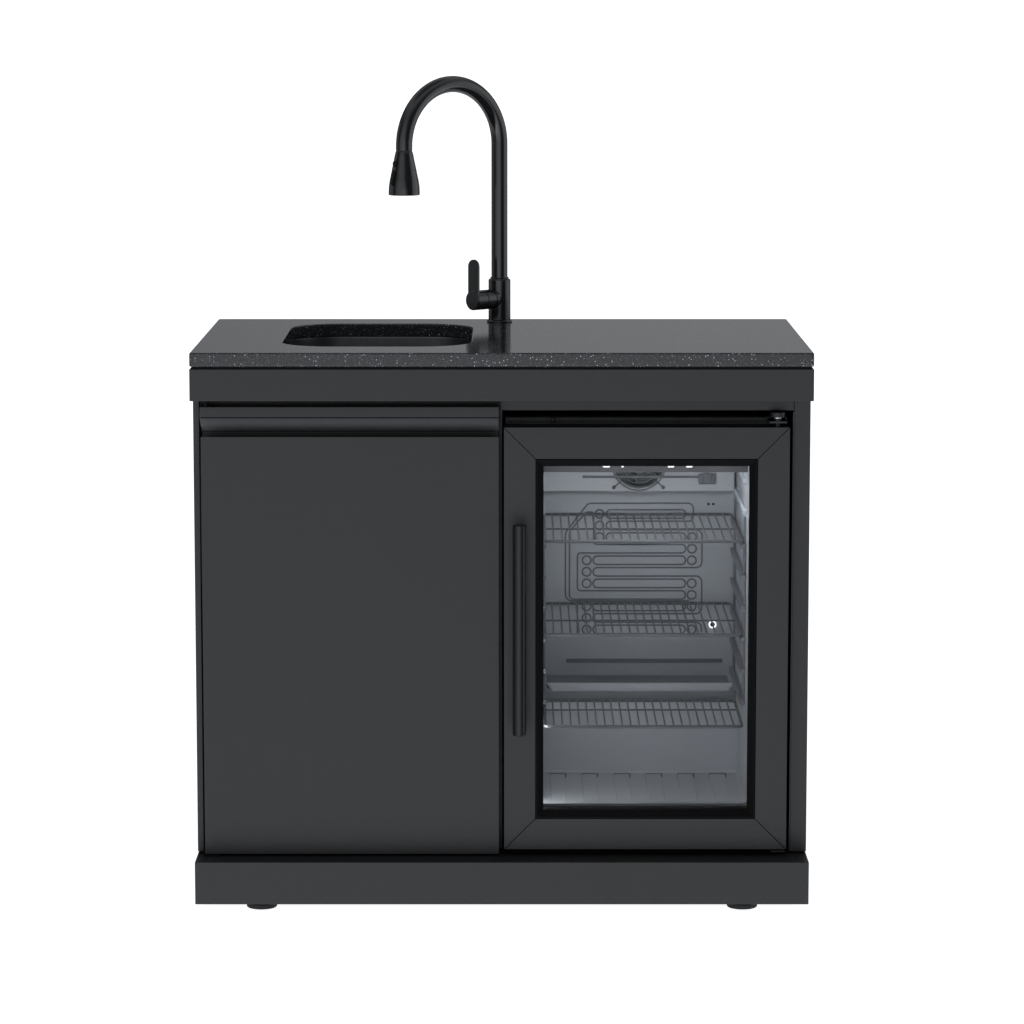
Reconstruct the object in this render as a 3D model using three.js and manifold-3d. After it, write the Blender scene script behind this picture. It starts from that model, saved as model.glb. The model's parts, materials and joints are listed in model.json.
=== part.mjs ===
// Outdoor bar cabinet: sink and pull-down mixer tap over a cupboard, glass-door
// beverage refrigerator beside it. Millimetres, +X right, +Y back, +Z up.
// The origin is at floor level, under the middle of the worktop.
import * as THREE from 'three';
import { mergeVertices } from 'three/addons/utils/BufferGeometryUtils.js';
import Module from 'manifold-3d';

const wasm = await Module();
wasm.setup();

// ---- driving dimensions ----------------------------------------------------
const WIDTH = 1000;
const DEPTH = 628;
const TOP = 920;
const SLAB = 22.5;            // worktop thickness
const GAP = 0.3;              // clearance between touching pieces
const PANEL = 18;             // cabinet panel thickness
const SHEET = 3;              // thickness of a folded flange
const JOINT = 3.7;            // shadow joint under the worktop
const APRON = 51.5;           // height of the apron

const XR = WIDTH / 2;
const YB = DEPTH / 2;
const SLAB_BOTTOM = TOP - SLAB;
const APRON_TOP = SLAB_BOTTOM - JOINT;
const APRON_BOTTOM = APRON_TOP - APRON;
const PLINTH_BOTTOM = 17.4;
const PLINTH_TOP = 87.8;
const BODY_BOTTOM = 91;
const BODY_TOP = APRON_BOTTOM - GAP;
const BODY_FRONT = -249;
const BODY_BACK = 309;
const DOOR_FRONT = -269;
const SIDE = 10;              // thickness of the left side panel's edge
const STILE = 26.6;           // width of the right side panel's front return
const RAIL_BOTTOM = 820.5;
const PARTITION = [-15, 1];
const SUBFRAME = { inset: 3, bar: 19 };
const TRAY = { side: 1.5, front: 4.5, back: 1 };     // set-backs of the bottom tray
const FOOT = { x: 395, y: 254, pad: 25, rim: 8, neck: 17, stem: 8, shoulder: 16, cone: 18 };

// back panel: service opening, vent slots and cable gland
const BACK = { thick: 8.7, deep: 20, out: 5 };
const SERVICE = { x0: -330, x1: -90, z0: 480, z1: 640 };
const VENTS = { x0: 60, x1: 420, z: 120, pitch: 22, tall: 10, count: 8 };
const GLAND = { x: 455, z: 160, r: 11, neck: 7, rim: 3, tall: 4.6 };

// cupboard door
const CUP_DOOR = {
  x0: -486.5, x1: -4.8, z0: BODY_BOTTOM + 0.5, top: 828.1,
  lip: 811.2, slope: 785, panel: 779.5, skin: 3, pocket: 21.5,
};
const CUP_DOOR_BACK = DOOR_FRONT + 40;
const CUP_PIVOT = { x: -478, y: -261, r: 4, play: 0.7, socket: 18, pin: 15, upper: 12, near: 10, far: 16 };

// sink cut-out and bowl
const SINK = { x0: -362, x1: -51, y0: -203, y1: 217, r: 85, z: 722, wall: 2 };
const SINK_X = (SINK.x0 + SINK.x1) / 2;
const SINK_Y = (SINK.y0 + SINK.y1) / 2;
const BOWL = { inset: 2, flange: 22, flangeR: 20, sheet: 2.4, drainR: 43 };
const TRAP = { r: 20, bore: 16, drop: 112, outZ: 610 };
const VALVE = { x: -400, y: 246, z: 500, r: 10, plateR: 22, stubR: 8, stub: 34, reach: 46 };

// mixer tap
const TAP = { x: -5.3, y: 253, bodyR: 19.2, bodyTop: TOP + 75, tubeR: 14, archR: 104.4 };
const TAP_YAW = THREE.MathUtils.degToRad(219.3);     // direction the spout points
const LEVER_YAW = THREE.MathUtils.degToRad(225);     // direction the lever barrel points
const ARCH_Z = TOP + 310;                            // where the riser becomes the arch
const SEAM_Z = TOP + 303;                            // joint between spout and spray head
const HEAD_BOTTOM = TOP + 228;
const BARREL_Z = TOP + 41;
const LEVER = { ball: 16, socket: 16.6, out: 24, r: 17, from: 26, to: 67, bladeFrom: 60, bladeTo: 65 };
const PADDLE = { below: 71, above: 12, half: 12.5 };
const LONG_BUTTON = { long: 11.6, wide: 4.9, rise: 29.5, seat: 15.5, proud: 1.6 };
const ROUND_BUTTON = { r: 4.9, rise: 53.5, seat: 12, reach: 21.3 };
const BUTTON_GAP = 0.4;
const BUTTON_WELL = 2;                               // depth of a well behind its button
const FAR = 40;                                      // past the outside of the spray head
const FACE = { r: 21.6, well: 22, up: 4.7 };
const HOSE = { r: 5.5, well: 8, down: 6, up: 14 };
// radius of the spray head at heights above its lower rim
const HEAD_PROFILE = [
  [26.9, 0], [26.8, 10], [26, 19], [23.4, 31], [20.4, 44], [17.4, 58], [14.9, 72], [14.2, 75],
];

// refrigerator
const FR = { x0: 6, x1: 464, y0: -213.5, y1: 284, z0: 98.7, z1: 806, steel: 1.5 };
const CAVITY = { x0: 64, x1: 404, y1: 186, z0: 163, z1: 735, stepY: 36, stepZ: 306, wall: 3 };
const FDOOR = { x0: 3.3, x1: 465.6, z0: 98.7, z1: 795.3, back: -224, frame: 51.5, bead: 12.6 };
const FHINGE = { x: 446, y: -257, pin: 4, hole: 4.7, deep: 16 };
const HANDLE = { x: 28.5, y: -297, z0: 294.5, z1: 640, r: 11, postR: 6, posts: [332, 602] };
const MACHINE = { x0: 30, x1: 440, front: 16, below: 14 };
const COVER = { y0: 141, z0: 637, wall: 2, fanX: 235, fanZ: 686, mouthR: 44 };
const EVAP_FAN = { y: 148, r: 40 };
const COMPRESSOR = { x: 140, y: 160 };
const CONDENSER = { x0: 250, x1: 400, y0: 170, y1: 214, tall: 150, fanY: 226, fanR: 58 };
const GRILLE = { x0: 34, x1: 436, slot0: 50, slot1: 420, z: 122, pitch: 20, tall: 8, count: 8 };
const SHELVES = [
  { name: 'shelf_upper', z: 592, y0: -156, y1: 178 },
  { name: 'shelf_middle', z: 435, y0: -156, y1: 178 },
  { name: 'shelf_lower', z: 291, y0: -210, y1: 28 },
];

// ---- materials -------------------------------------------------------------
function paint(color, roughness, metalness) {
  return new THREE.MeshStandardMaterial({ color, roughness, metalness });
}

const MAT = {
  stone: paint(0x3c3e42, 0.3, 0.0),
  panel: paint(0x3b3d41, 0.45, 0.2),
  shadow: paint(0x141416, 0.6, 0.0),
  black: paint(0x17181a, 0.4, 0.1),
  steel: paint(0xb9bcc0, 0.3, 0.9),
  liner: paint(0xc9cdd2, 0.4, 0.0),
  foam: paint(0xd8c89a, 0.9, 0.0),
  glass: paint(0x55606a, 0.05, 0.0),
  wire: paint(0xd5d8db, 0.35, 0.6),
  rubber: paint(0x1c1c1d, 0.8, 0.0),
  iron: paint(0x202225, 0.5, 0.4),
  brass: paint(0xb08d4a, 0.35, 0.9),
};

// ---- geometry helpers ------------------------------------------------------
function toSolid(geometry) {
  const bare = geometry.clone();
  bare.deleteAttribute('normal');
  bare.deleteAttribute('uv');
  const merged = mergeVertices(bare, 1e-4);
  return new wasm.Manifold(new wasm.Mesh({
    numProp: 3,
    vertProperties: new Float32Array(merged.attributes.position.array),
    triVerts: new Uint32Array(merged.index.array),
  }));
}

function toGeometry(solid) {
  const mesh = solid.getMesh();
  const geometry = new THREE.BufferGeometry();
  geometry.setAttribute('position', new THREE.BufferAttribute(new Float32Array(mesh.vertProperties), 3));
  geometry.setIndex(new THREE.BufferAttribute(new Uint32Array(mesh.triVerts), 1));
  geometry.computeVertexNormals();
  return geometry;
}

function cut(geometry, ...tools) {
  return toGeometry(tools.reduce((solid, tool) => solid.subtract(toSolid(tool)), toSolid(geometry)));
}

function join(geometry, ...others) {
  return toGeometry(others.reduce((solid, other) => solid.add(toSolid(other)), toSolid(geometry)));
}

function common(a, b) {
  return toGeometry(toSolid(a).intersect(toSolid(b)));
}

function block(x0, x1, y0, y1, z0, z1) {
  const box = new THREE.BoxGeometry(x1 - x0, y1 - y0, z1 - z0);
  return box.translate((x0 + x1) / 2, (y0 + y1) / 2, (z0 + z1) / 2);
}

// a round bar along Z, from z0 to z1
function rod(x, y, z0, z1, r, sides = 20) {
  const bar = new THREE.CylinderGeometry(r, r, z1 - z0, sides);
  return bar.rotateX(Math.PI / 2).translate(x, y, (z0 + z1) / 2);
}

// a round bar along Y, from y0 to y1
function rodY(x, z, y0, y1, r, sides = 20) {
  return new THREE.CylinderGeometry(r, r, y1 - y0, sides).translate(x, (y0 + y1) / 2, z);
}

// a solid of revolution about the vertical line through (x, y); profile of [radius, z]
function turned(x, y, profile, sides = 24) {
  const points = profile.map(([r, z]) => new THREE.Vector2(r, z));
  return new THREE.LatheGeometry(points, sides).rotateX(Math.PI / 2).translate(x, y, 0);
}

function roundedRect(x0, x1, y0, y1, r) {
  const s = new THREE.Shape();
  s.moveTo(x0 + r, y0);
  s.lineTo(x1 - r, y0);
  s.absarc(x1 - r, y0 + r, r, -Math.PI / 2, 0, false);
  s.lineTo(x1, y1 - r);
  s.absarc(x1 - r, y1 - r, r, 0, Math.PI / 2, false);
  s.lineTo(x0 + r, y1);
  s.absarc(x0 + r, y1 - r, r, Math.PI / 2, Math.PI, false);
  s.lineTo(x0, y0 + r);
  s.absarc(x0 + r, y0 + r, r, Math.PI, 1.5 * Math.PI, false);
  return s;
}

function prism(shape, z0, z1, curveSegments = 7) {
  const solid = new THREE.ExtrudeGeometry(shape, { depth: z1 - z0, bevelEnabled: false, curveSegments });
  return solid.translate(0, 0, z0);
}

// a constant section of [y, z] corners running along X
function sectionAlongX(corners, x0, x1) {
  const shape = new THREE.Shape(corners.map(([y, z]) => new THREE.Vector2(y, z)));
  const bar = new THREE.ExtrudeGeometry(shape, { depth: x1 - x0, bevelEnabled: false });
  return bar.rotateX(Math.PI / 2).rotateZ(Math.PI / 2).translate(x0, 0, 0);
}

// a plate ring standing in the XZ plane
function frameXZ(x0, x1, z0, z1, width, y0, y1) {
  return cut(block(x0, x1, y0, y1, z0, z1),
    block(x0 + width, x1 - width, y0 - 1, y1 + 1, z0 + width, z1 - width));
}

function circle(r, sides) {
  const points = [];
  for (let i = 0; i < sides; i += 1) {
    const a = (2 * Math.PI * i) / sides;
    points.push(new THREE.Vector2(r * Math.cos(a), r * Math.sin(a)));
  }
  return new THREE.Shape(points);
}

function sweep(curve, r, sides, steps) {
  return new THREE.ExtrudeGeometry(circle(r, sides), { steps, bevelEnabled: false, extrudePath: curve });
}

// turns a shape built along +Z into one that starts at `origin` and runs along the level direction `yaw`
function levelled(geometry, yaw, origin) {
  return geometry.rotateY(Math.PI / 2).rotateZ(yaw).translate(...origin);
}

const part = new THREE.Group();

function add(name, geometry, material, parent = part) {
  const mesh = new THREE.Mesh(geometry, material);
  mesh.name = name;
  parent.add(mesh);
}

// ---- worktop, apron, carcass -----------------------------------------------
function worktop() {
  const slab = block(-XR, XR, -YB, YB, SLAB_BOTTOM, TOP);
  const bowl = prism(roundedRect(SINK.x0, SINK.x1, SINK.y0, SINK.y1, SINK.r), SLAB_BOTTOM - 1, TOP + 1, 8);
  add('worktop', cut(slab, bowl, rod(TAP.x, TAP.y, SLAB_BOTTOM - 1, TOP + 1, 17.5)), MAT.stone);
}

function subframe() {
  const ring = (edge, z0, z1) => block(-XR + edge, XR - edge, -YB + edge, YB - edge, z0, z1);
  const outer = ring(SUBFRAME.inset, APRON_TOP + GAP, SLAB_BOTTOM - GAP);
  const inner = ring(SUBFRAME.inset + SUBFRAME.bar, APRON_TOP, SLAB_BOTTOM);
  add('worktop_subframe', cut(outer, inner), MAT.shadow);
}

function apron() {
  const face = block(-XR, XR, -YB, -YB + PANEL, APRON_BOTTOM, APRON_TOP);
  const soffit = block(-XR + PANEL + GAP, XR - PANEL - GAP, -YB + PANEL - 1, BODY_FRONT + PANEL,
    APRON_BOTTOM, APRON_BOTTOM + SHEET);
  add('apron_front', join(face, soffit), MAT.panel);
  const outer = block(-XR, XR, -YB + PANEL + GAP, YB, APRON_BOTTOM, APRON_TOP);
  const inner = block(-XR + PANEL, XR - PANEL, -YB, YB - PANEL, APRON_BOTTOM - 1, APRON_TOP + 1);
  add('apron_return', cut(outer, inner), MAT.panel);
}

function carcass() {
  add('side_panel_left', block(-XR, -XR + SIDE, BODY_FRONT, BODY_BACK, BODY_BOTTOM, BODY_TOP), MAT.panel);
  const plate = block(XR - PANEL, XR, BODY_FRONT, BODY_BACK, BODY_BOTTOM, BODY_TOP);
  const stile = block(XR - STILE, XR, BODY_FRONT, BODY_FRONT + PANEL, BODY_BOTTOM, BODY_TOP);
  add('side_panel_right', join(plate, stile), MAT.panel);
  const railBack = CUP_DOOR_BACK + PANEL;
  const rail = block(-2.3, XR - STILE - GAP, BODY_FRONT, railBack, RAIL_BOTTOM, BODY_TOP);
  const setBack = block(-XR + SIDE + GAP, -2, CUP_DOOR_BACK + 2, railBack, RAIL_BOTTOM, BODY_TOP);
  add('top_rail', join(rail, setBack), MAT.panel);
  const partitionBack = BODY_BACK - BACK.thick - GAP;
  add('centre_partition', block(PARTITION[0], PARTITION[1], CUP_DOOR_BACK + SHEET, partitionBack, BODY_BOTTOM,
    RAIL_BOTTOM - GAP), MAT.panel);
  add('base_tray', block(-XR + TRAY.side, XR - TRAY.side, BODY_FRONT + TRAY.front, BODY_BACK - TRAY.back,
    PLINTH_TOP + GAP, BODY_BOTTOM - GAP), MAT.shadow);
}

function backPanel() {
  const front = BODY_BACK - BACK.thick;
  const plate = block(-XR + SIDE + GAP, XR - PANEL - GAP, front, BODY_BACK, BODY_BOTTOM, BODY_TOP);
  const slot = (x0, x1, z0, z1) => block(x0, x1, BODY_BACK - BACK.deep, BODY_BACK + BACK.out, z0, z1);
  const vents = [];
  for (let i = 0; i < VENTS.count; i += 1) {
    const z = VENTS.z + VENTS.pitch * i;
    vents.push(slot(VENTS.x0, VENTS.x1, z, z + VENTS.tall));
  }
  add('back_panel', cut(plate, slot(SERVICE.x0, SERVICE.x1, SERVICE.z0, SERVICE.z1), ...vents), MAT.panel);
  const g = GLAND;
  const profile = [[0, 0], [g.r, 0], [g.r, g.rim], [g.neck, g.tall], [0, g.tall]];
  const gland = turned(0, 0, profile, 16).rotateX(-Math.PI / 2);
  add('mains_gland', gland.translate(g.x, BODY_BACK + GAP, g.z), MAT.rubber);
}

function foot(name, x, y, top) {
  const { pad, rim, neck, shoulder, stem, cone } = FOOT;
  const profile = [[0, 0], [pad, 0], [pad, rim], [neck, shoulder], [stem, cone], [stem, top], [0, top]];
  add(name, turned(x, y, profile, 20), MAT.rubber);
}

function plinth() {
  const face = block(-XR, XR, -YB, -YB + PANEL, PLINTH_BOTTOM, PLINTH_TOP);
  const step = block(-XR + PANEL + GAP, XR - PANEL - GAP, -YB + PANEL - 1, BODY_FRONT + PANEL,
    PLINTH_TOP - SHEET, PLINTH_TOP);
  add('plinth_front', join(face, step), MAT.panel);
  const outer = block(-XR, XR, -YB + PANEL + GAP, BODY_BACK, PLINTH_BOTTOM, PLINTH_TOP);
  const inner = block(-XR + PANEL, XR - PANEL, -YB, BODY_BACK - PANEL, PLINTH_BOTTOM - 1, PLINTH_TOP + 1);
  add('plinth_return', cut(outer, inner), MAT.panel);
  foot('foot_front_left', -FOOT.x, -FOOT.y, PLINTH_TOP - SHEET - GAP);
  foot('foot_front_right', FOOT.x, -FOOT.y, PLINTH_TOP - SHEET - GAP);
  foot('foot_back_left', -FOOT.x, FOOT.y, PLINTH_TOP);
  foot('foot_back_right', FOOT.x, FOOT.y, PLINTH_TOP);
}

// ---- cupboard door ---------------------------------------------------------
function cupboardDoor() {
  const d = CUP_DOOR;
  const skinBack = DOOR_FRONT + d.skin;
  const back = CUP_DOOR_BACK;
  const wall = back - 4;                // front of the pull's back wall
  const nose = DOOR_FRONT - 5;          // the pull's lip stands proud of the panel
  const pocket = d.panel - d.pocket;    // floor of the finger pocket
  const pin = (z0, z1) => rod(CUP_PIVOT.x, CUP_PIVOT.y, z0, z1, CUP_PIVOT.r + CUP_PIVOT.play);
  const section = [[DOOR_FRONT, d.z0], [back, d.z0], [back, pocket], [skinBack, pocket], [skinBack, d.panel],
    [DOOR_FRONT, d.panel]];
  const lowerHole = pin(d.z0 - 1, d.z0 + CUP_PIVOT.socket);
  add('cupboard_door_panel', cut(sectionAlongX(section, d.x0, d.x1), lowerHole), MAT.panel);
  const pull = [[nose, d.lip], [wall, d.slope], [wall, pocket + GAP], [back, pocket + GAP], [back, d.top],
    [DOOR_FRONT, d.top]];
  const upperHole = pin(d.top - CUP_PIVOT.pin, d.top + 1);
  add('cupboard_door_pull', cut(sectionAlongX(pull, d.x0 - 1, d.x1), upperHole), MAT.panel);
}

function cupboardPivots() {
  const { x, y, r, near, far } = CUP_PIVOT;
  const plate = (z0, z1) => block(x - near, x + far, y - near, y + far, z0, z1);
  const low = PLINTH_TOP + GAP;
  const lowerPin = rod(x, y, low + 1, CUP_DOOR.z0 + CUP_PIVOT.pin, r);
  add('door_pivot_lower', join(plate(low, low + 2), lowerPin), MAT.steel);
  const high = APRON_BOTTOM - GAP;
  const upperPin = rod(x, y, CUP_DOOR.top - CUP_PIVOT.upper, high - 1, r);
  add('door_pivot_upper', join(plate(high - 4, high), upperPin), MAT.steel);
}

// ---- sink and plumbing -----------------------------------------------------
function sinkBowl() {
  const s = SINK;
  const top = SLAB_BOTTOM - GAP;
  const outline = (grow, r) => roundedRect(s.x0 - grow, s.x1 + grow, s.y0 - grow, s.y1 + grow, r);
  const flange = prism(outline(BOWL.flange, s.r + BOWL.flangeR), top - BOWL.sheet, top);
  const shell = prism(outline(BOWL.inset + s.wall, s.r + s.wall), s.z - s.wall, top - 1);
  const inside = prism(outline(BOWL.inset, s.r), s.z, top + 1);
  const drainHole = rod(SINK_X, SINK_Y, s.z - 5, s.z + 5, BOWL.drainR, 24);
  add('sink_bowl', cut(join(flange, shell), inside, drainHole), MAT.steel);
}

function sinkDrain() {
  const z = SINK.z + GAP;
  const cup = [[40, 2], [40, -52], [19, -56], [19, -112], [21, -112], [21, -58], [42, -54], [42, 0], [56, 0],
    [56, 2], [40, 2]];
  const basket = [[0, -34], [34, -34], [38.6, 3], [40.5, 3.6], [40.5, 5], [37, 5], [32.6, -32.4], [5, -32.4],
    [5, -8], [8, -4], [8, 0], [0, 0]];
  const lifted = (profile) => profile.map(([r, dz]) => [r, z + dz]);
  add('sink_drain', turned(SINK_X, SINK_Y, lifted(cup)), MAT.steel);
  add('strainer_basket', turned(SINK_X, SINK_Y, lifted(basket)), MAT.steel);
}

function drainTrap() {
  const zTop = SINK.z - TRAP.drop - GAP;
  const out = TRAP.outZ;
  // distance behind the drain, and height
  const route = [[0, zTop], [0, 568], [12, 542], [40, 528], [68, 542], [80, 568], [84, 590], [104, out - 4],
    [140, out], [200, out], [BODY_BACK - SINK_Y - 1, out]];
  const curve = new THREE.CatmullRomCurve3(route.map(([y, z]) => new THREE.Vector3(SINK_X, SINK_Y + y, z)));
  add('drain_trap', cut(sweep(curve, TRAP.r, 12, 32), sweep(curve, TRAP.bore, 8, 32)), MAT.liner);
}

function inletValve() {
  const { x, y, z, r, plateR, stubR, stub, reach } = VALVE;
  const yWall = BODY_BACK - BACK.thick - GAP;
  const wallPlate = rodY(x, z, yWall - 4, yWall, plateR, 20);
  const outlet = rod(x, y + 16, z, z + stub, stubR, 16);
  add('inlet_valve', join(rodY(x, z, y, yWall, r, 16), wallPlate, outlet), MAT.brass);
  const hub = rodY(x, z, y - 8, y - GAP, stubR, 16);
  add('inlet_valve_lever', join(hub, block(x - reach, x, y - 8, y - 5, z - 6, z + 6)), MAT.steel);
}

// ---- mixer tap -------------------------------------------------------------
function along(yaw, distance, z) {
  return [TAP.x + distance * Math.cos(yaw), TAP.y + distance * Math.sin(yaw), z];
}

const BALL_AT = along(LEVER_YAW, LEVER.out, BARREL_Z);
const HEAD_AT = along(TAP_YAW, 2 * TAP.archR, 0);

function ball(r) {
  return new THREE.SphereGeometry(r, 24, 16).translate(...BALL_AT);
}

function tapBody() {
  const z = TOP + GAP;
  const top = TAP.bodyTop;
  const r = TAP.bodyR;
  const profile = [[0, 850], [15, 850], [15, z], [22, z], [22, z + 3], [r, z + 4], [r, top - 1],
    [r - 1.2, top], [0, top]];
  add('tap_body', cut(turned(TAP.x, TAP.y, profile, 32), ball(LEVER.socket)), MAT.black);
  const hexagon = rod(TAP.x, TAP.y, 880, SLAB_BOTTOM - GAP, 27, 6);
  add('tap_nut', cut(hexagon, rod(TAP.x, TAP.y, 870, TOP, 15.6, 24)), MAT.brass);
}

function tapSpout() {
  const side = Math.cos(TAP_YAW);
  const fore = Math.sin(TAP_YAW);
  const at = (u, z) => new THREE.Vector3(TAP.x + u * side, TAP.y + u * fore, z);
  const heights = [TAP.bodyTop + GAP, TOP + 150, TOP + 230, ARCH_Z - 24, ARCH_Z];
  const points = heights.map((z) => at(0, z));
  const arcSteps = 12;
  for (let i = 1; i <= arcSteps; i += 1) {
    const a = Math.PI * (1 - i / arcSteps);
    points.push(at(TAP.archR * (1 + Math.cos(a)), ARCH_Z + TAP.archR * Math.sin(a)));
  }
  points.push(at(2 * TAP.archR, SEAM_Z + GAP));
  const tube = sweep(new THREE.CatmullRomCurve3(points, false, 'centripetal'), TAP.tubeR, 14, 42);
  const hoseWell = rod(HEAD_AT[0], HEAD_AT[1], SEAM_Z - 5, SEAM_Z + HOSE.up + 2, HOSE.well, 14);
  add('tap_spout', cut(tube, hoseWell), MAT.black);
}

function headShape(extra) {
  const outline = HEAD_PROFILE.map(([r, rise]) => [r + extra, HEAD_BOTTOM + rise]);
  return turned(HEAD_AT[0], HEAD_AT[1], [[0, HEAD_BOTTOM], ...outline, [0, SEAM_Z]], 28);
}

// the stadium-shaped prism of the long button, pointing out of the head
function longButton(extra, from, to) {
  const { long, wide, rise } = LONG_BUTTON;
  const w = wide + extra;
  const shape = roundedRect(-long - extra, long + extra, -w, w, w - 0.01);
  const prismOut = prism(shape, from, to, 4);
  return levelled(prismOut, TAP_YAW, [HEAD_AT[0], HEAD_AT[1], HEAD_BOTTOM + rise]);
}

function roundButton(r, from, to) {
  const middle = [HEAD_AT[0], HEAD_AT[1], HEAD_BOTTOM + ROUND_BUTTON.rise];
  return levelled(rod(0, 0, from, to, r, 18), TAP_YAW, middle);
}

function sprayHead() {
  const [x, y] = HEAD_AT;
  const faceWell = rod(x, y, HEAD_BOTTOM - 1, HEAD_BOTTOM + FACE.up + GAP, FACE.well, 28);
  const hoseWell = rod(x, y, SEAM_Z - HOSE.down - 1, SEAM_Z + 1, HOSE.well, 14);
  const roundWell = roundButton(ROUND_BUTTON.r + BUTTON_GAP, ROUND_BUTTON.seat - BUTTON_WELL, FAR);
  const longWell = longButton(BUTTON_GAP, LONG_BUTTON.seat - BUTTON_WELL, FAR);
  add('spray_head', cut(headShape(0), faceWell, hoseWell, roundWell, longWell), MAT.black);
  add('spray_face', rod(x, y, HEAD_BOTTOM + 0.6, HEAD_BOTTOM + FACE.up, FACE.r, 28), MAT.rubber);
  add('spray_button_round', roundButton(ROUND_BUTTON.r, ROUND_BUTTON.seat, ROUND_BUTTON.reach), MAT.black);
  const key = common(longButton(0, LONG_BUTTON.seat, FAR), headShape(LONG_BUTTON.proud));
  add('spray_button_long', key, MAT.black);
  add('spray_hose', rod(x, y, SEAM_Z - HOSE.down, SEAM_Z + HOSE.up, HOSE.r, 14), MAT.rubber);
}

function tapLever() {
  add('tap_ball', ball(LEVER.ball), MAT.black);
  const from = [TAP.x, TAP.y, BARREL_Z];
  const cap = levelled(rod(0, 0, LEVER.from, LEVER.to, LEVER.r, 28), LEVER_YAW, from);
  const { below, above, half } = PADDLE;
  const outline = roundedRect(-below, above, -half, half, half - 0.1);
  const paddle = levelled(prism(outline, LEVER.bladeFrom, LEVER.bladeTo, 5), LEVER_YAW, from);
  add('tap_lever', cut(join(cap, paddle), ball(LEVER.socket)), MAT.black);
}

// ---- refrigerator ----------------------------------------------------------
function liner(grow) {
  const c = CAVITY;
  const front = FR.y0 + FR.steel + GAP;
  const upper = block(c.x0 - grow, c.x1 + grow, front, c.y1 + grow, c.stepZ - grow, c.z1 + grow);
  const lower = block(c.x0 - grow, c.x1 + grow, front, c.stepY + grow, c.z0 - grow, c.z1 + grow);
  return join(upper, lower);
}

// machine space under the step, open to the back
function machineSpace(grow) {
  const m = MACHINE;
  return block(m.x0 - grow, m.x1 + grow, CAVITY.stepY + m.front - grow, FR.y1 + 5, FR.z0 + 3,
    CAVITY.stepZ - m.below + grow);
}

function fridgeCase() {
  const f = FR;
  const t = f.steel;
  const outer = block(f.x0, f.x1, f.y0, f.y1, f.z0, f.z1);
  const inner = block(f.x0 + t, f.x1 - t, f.y0 + t, f.y1 - t, f.z0 + t, f.z1 - t);
  const grow = CAVITY.wall + 2 * GAP;
  const c = CAVITY;
  const mouth = block(c.x0 - grow, c.x1 + grow, f.y0 - 1, f.y0 + t + 1, c.z0 - grow, c.z1 + grow);
  const rear = block(MACHINE.x0 + 10, MACHINE.x1 - 10, f.y1 - 5, f.y1 + 5, f.z0 + 12, c.stepZ - 20);
  add('fridge_case', cut(outer, inner, mouth, rear), MAT.liner);
  const opening = block(c.x0, c.x1, f.y0, f.y0 + 10, c.z0, c.z1);
  add('fridge_liner', cut(liner(c.wall), liner(0), opening), MAT.liner);
  const u = t + GAP;
  const foam = block(f.x0 + u, f.x1 - u, f.y0 + u, f.y1 - u, f.z0 + u, f.z1 - u);
  const frontGap = block(f.x0, f.x1, f.y0, f.y0 + 5, f.z0, f.z1);
  add('insulation_foam', cut(foam, liner(c.wall + GAP), machineSpace(0), frontGap), MAT.foam);
}

function fan(name, x, y, z, r, blades, material) {
  const depth = 9;
  const pitch = 0.38;
  const hub = rodY(x, z, y, y + depth, r * 0.3, 18);
  const pieces = [];
  for (let i = 0; i < blades; i += 1) {
    const blade = new THREE.BoxGeometry(r * 0.78, 1.4, r * 0.46).rotateX(pitch);
    const turn = (2 * Math.PI * i) / blades;
    pieces.push(blade.translate(r * 0.6, depth / 2, 0).rotateY(turn).translate(x, y, z));
  }
  add(name, join(hub, ...pieces), material);
}

function coolingInside() {
  const c = CAVITY;
  const plate = block(c.x0 + 2, c.x1 - 2, c.y1 - 5.5, c.y1 - GAP, c.stepZ + 2, c.z1 - 2);
  add('evaporator_plate', plate, MAT.liner);
  const { y0, z0, wall, fanX, fanZ, mouthR } = COVER;
  const y1 = c.y1 - 6;
  const shell = block(c.x0 + 4, c.x1 - 4, y0, y1, z0, c.z1 - GAP);
  const room = block(c.x0 + 4 + wall, c.x1 - 4 - wall, y0 + wall, y1 + wall, z0 + wall, c.z1 - wall);
  add('evaporator_cover', cut(shell, room, rodY(fanX, fanZ, y0 - 9, y0 + 9, mouthR, 28)), MAT.liner);
  fan('evaporator_fan', fanX, EVAP_FAN.y, fanZ, EVAP_FAN.r, 5, MAT.iron);
  add('control_fascia', block(c.x0 + 2, c.x1 - 2, -207, -185, 714, c.z1 - GAP), MAT.liner);
}

function shelf({ name, z, y0, y1 }) {
  const x0 = CAVITY.x0 + 5;
  const x1 = CAVITY.x1 - 5;
  const rim = 5;
  const wire = 2.6;
  const hoop = cut(block(x0, x1, y0, y1, z - rim / 2, z + rim / 2),
    block(x0 + rim, x1 - rim, y0 + rim, y1 - rim, z - rim, z + rim));
  const wires = [];
  const count = 20;
  for (let i = 1; i <= count; i += 1) {
    const x = x0 + ((x1 - x0) * i) / (count + 1);
    wires.push(block(x - wire / 2, x + wire / 2, y0 + 1, y1 - 1, z - wire / 2, z + wire / 2));
  }
  add(name, join(hoop, ...wires), MAT.wire);
}

// a ladder on a side wall of the liner: two thin uprights and a ledge under each full-depth shelf
function shelfSupport(name, wallX, inward) {
  const bar = (depth, y0, y1, z0, z1) => block(Math.min(wallX, wallX + inward * depth),
    Math.max(wallX, wallX + inward * depth), y0, y1, z0, z1);
  const ledges = SHELVES.slice(0, 2).map(({ z }) => bar(9, -150, 165, z - 12, z - 4));
  const front = bar(4, -140, -128, CAVITY.stepZ + 12, 630);
  const rear = bar(4, 140, 152, CAVITY.stepZ + 12, 630);
  add(name, join(front, rear, ...ledges), MAT.liner);
}

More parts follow.
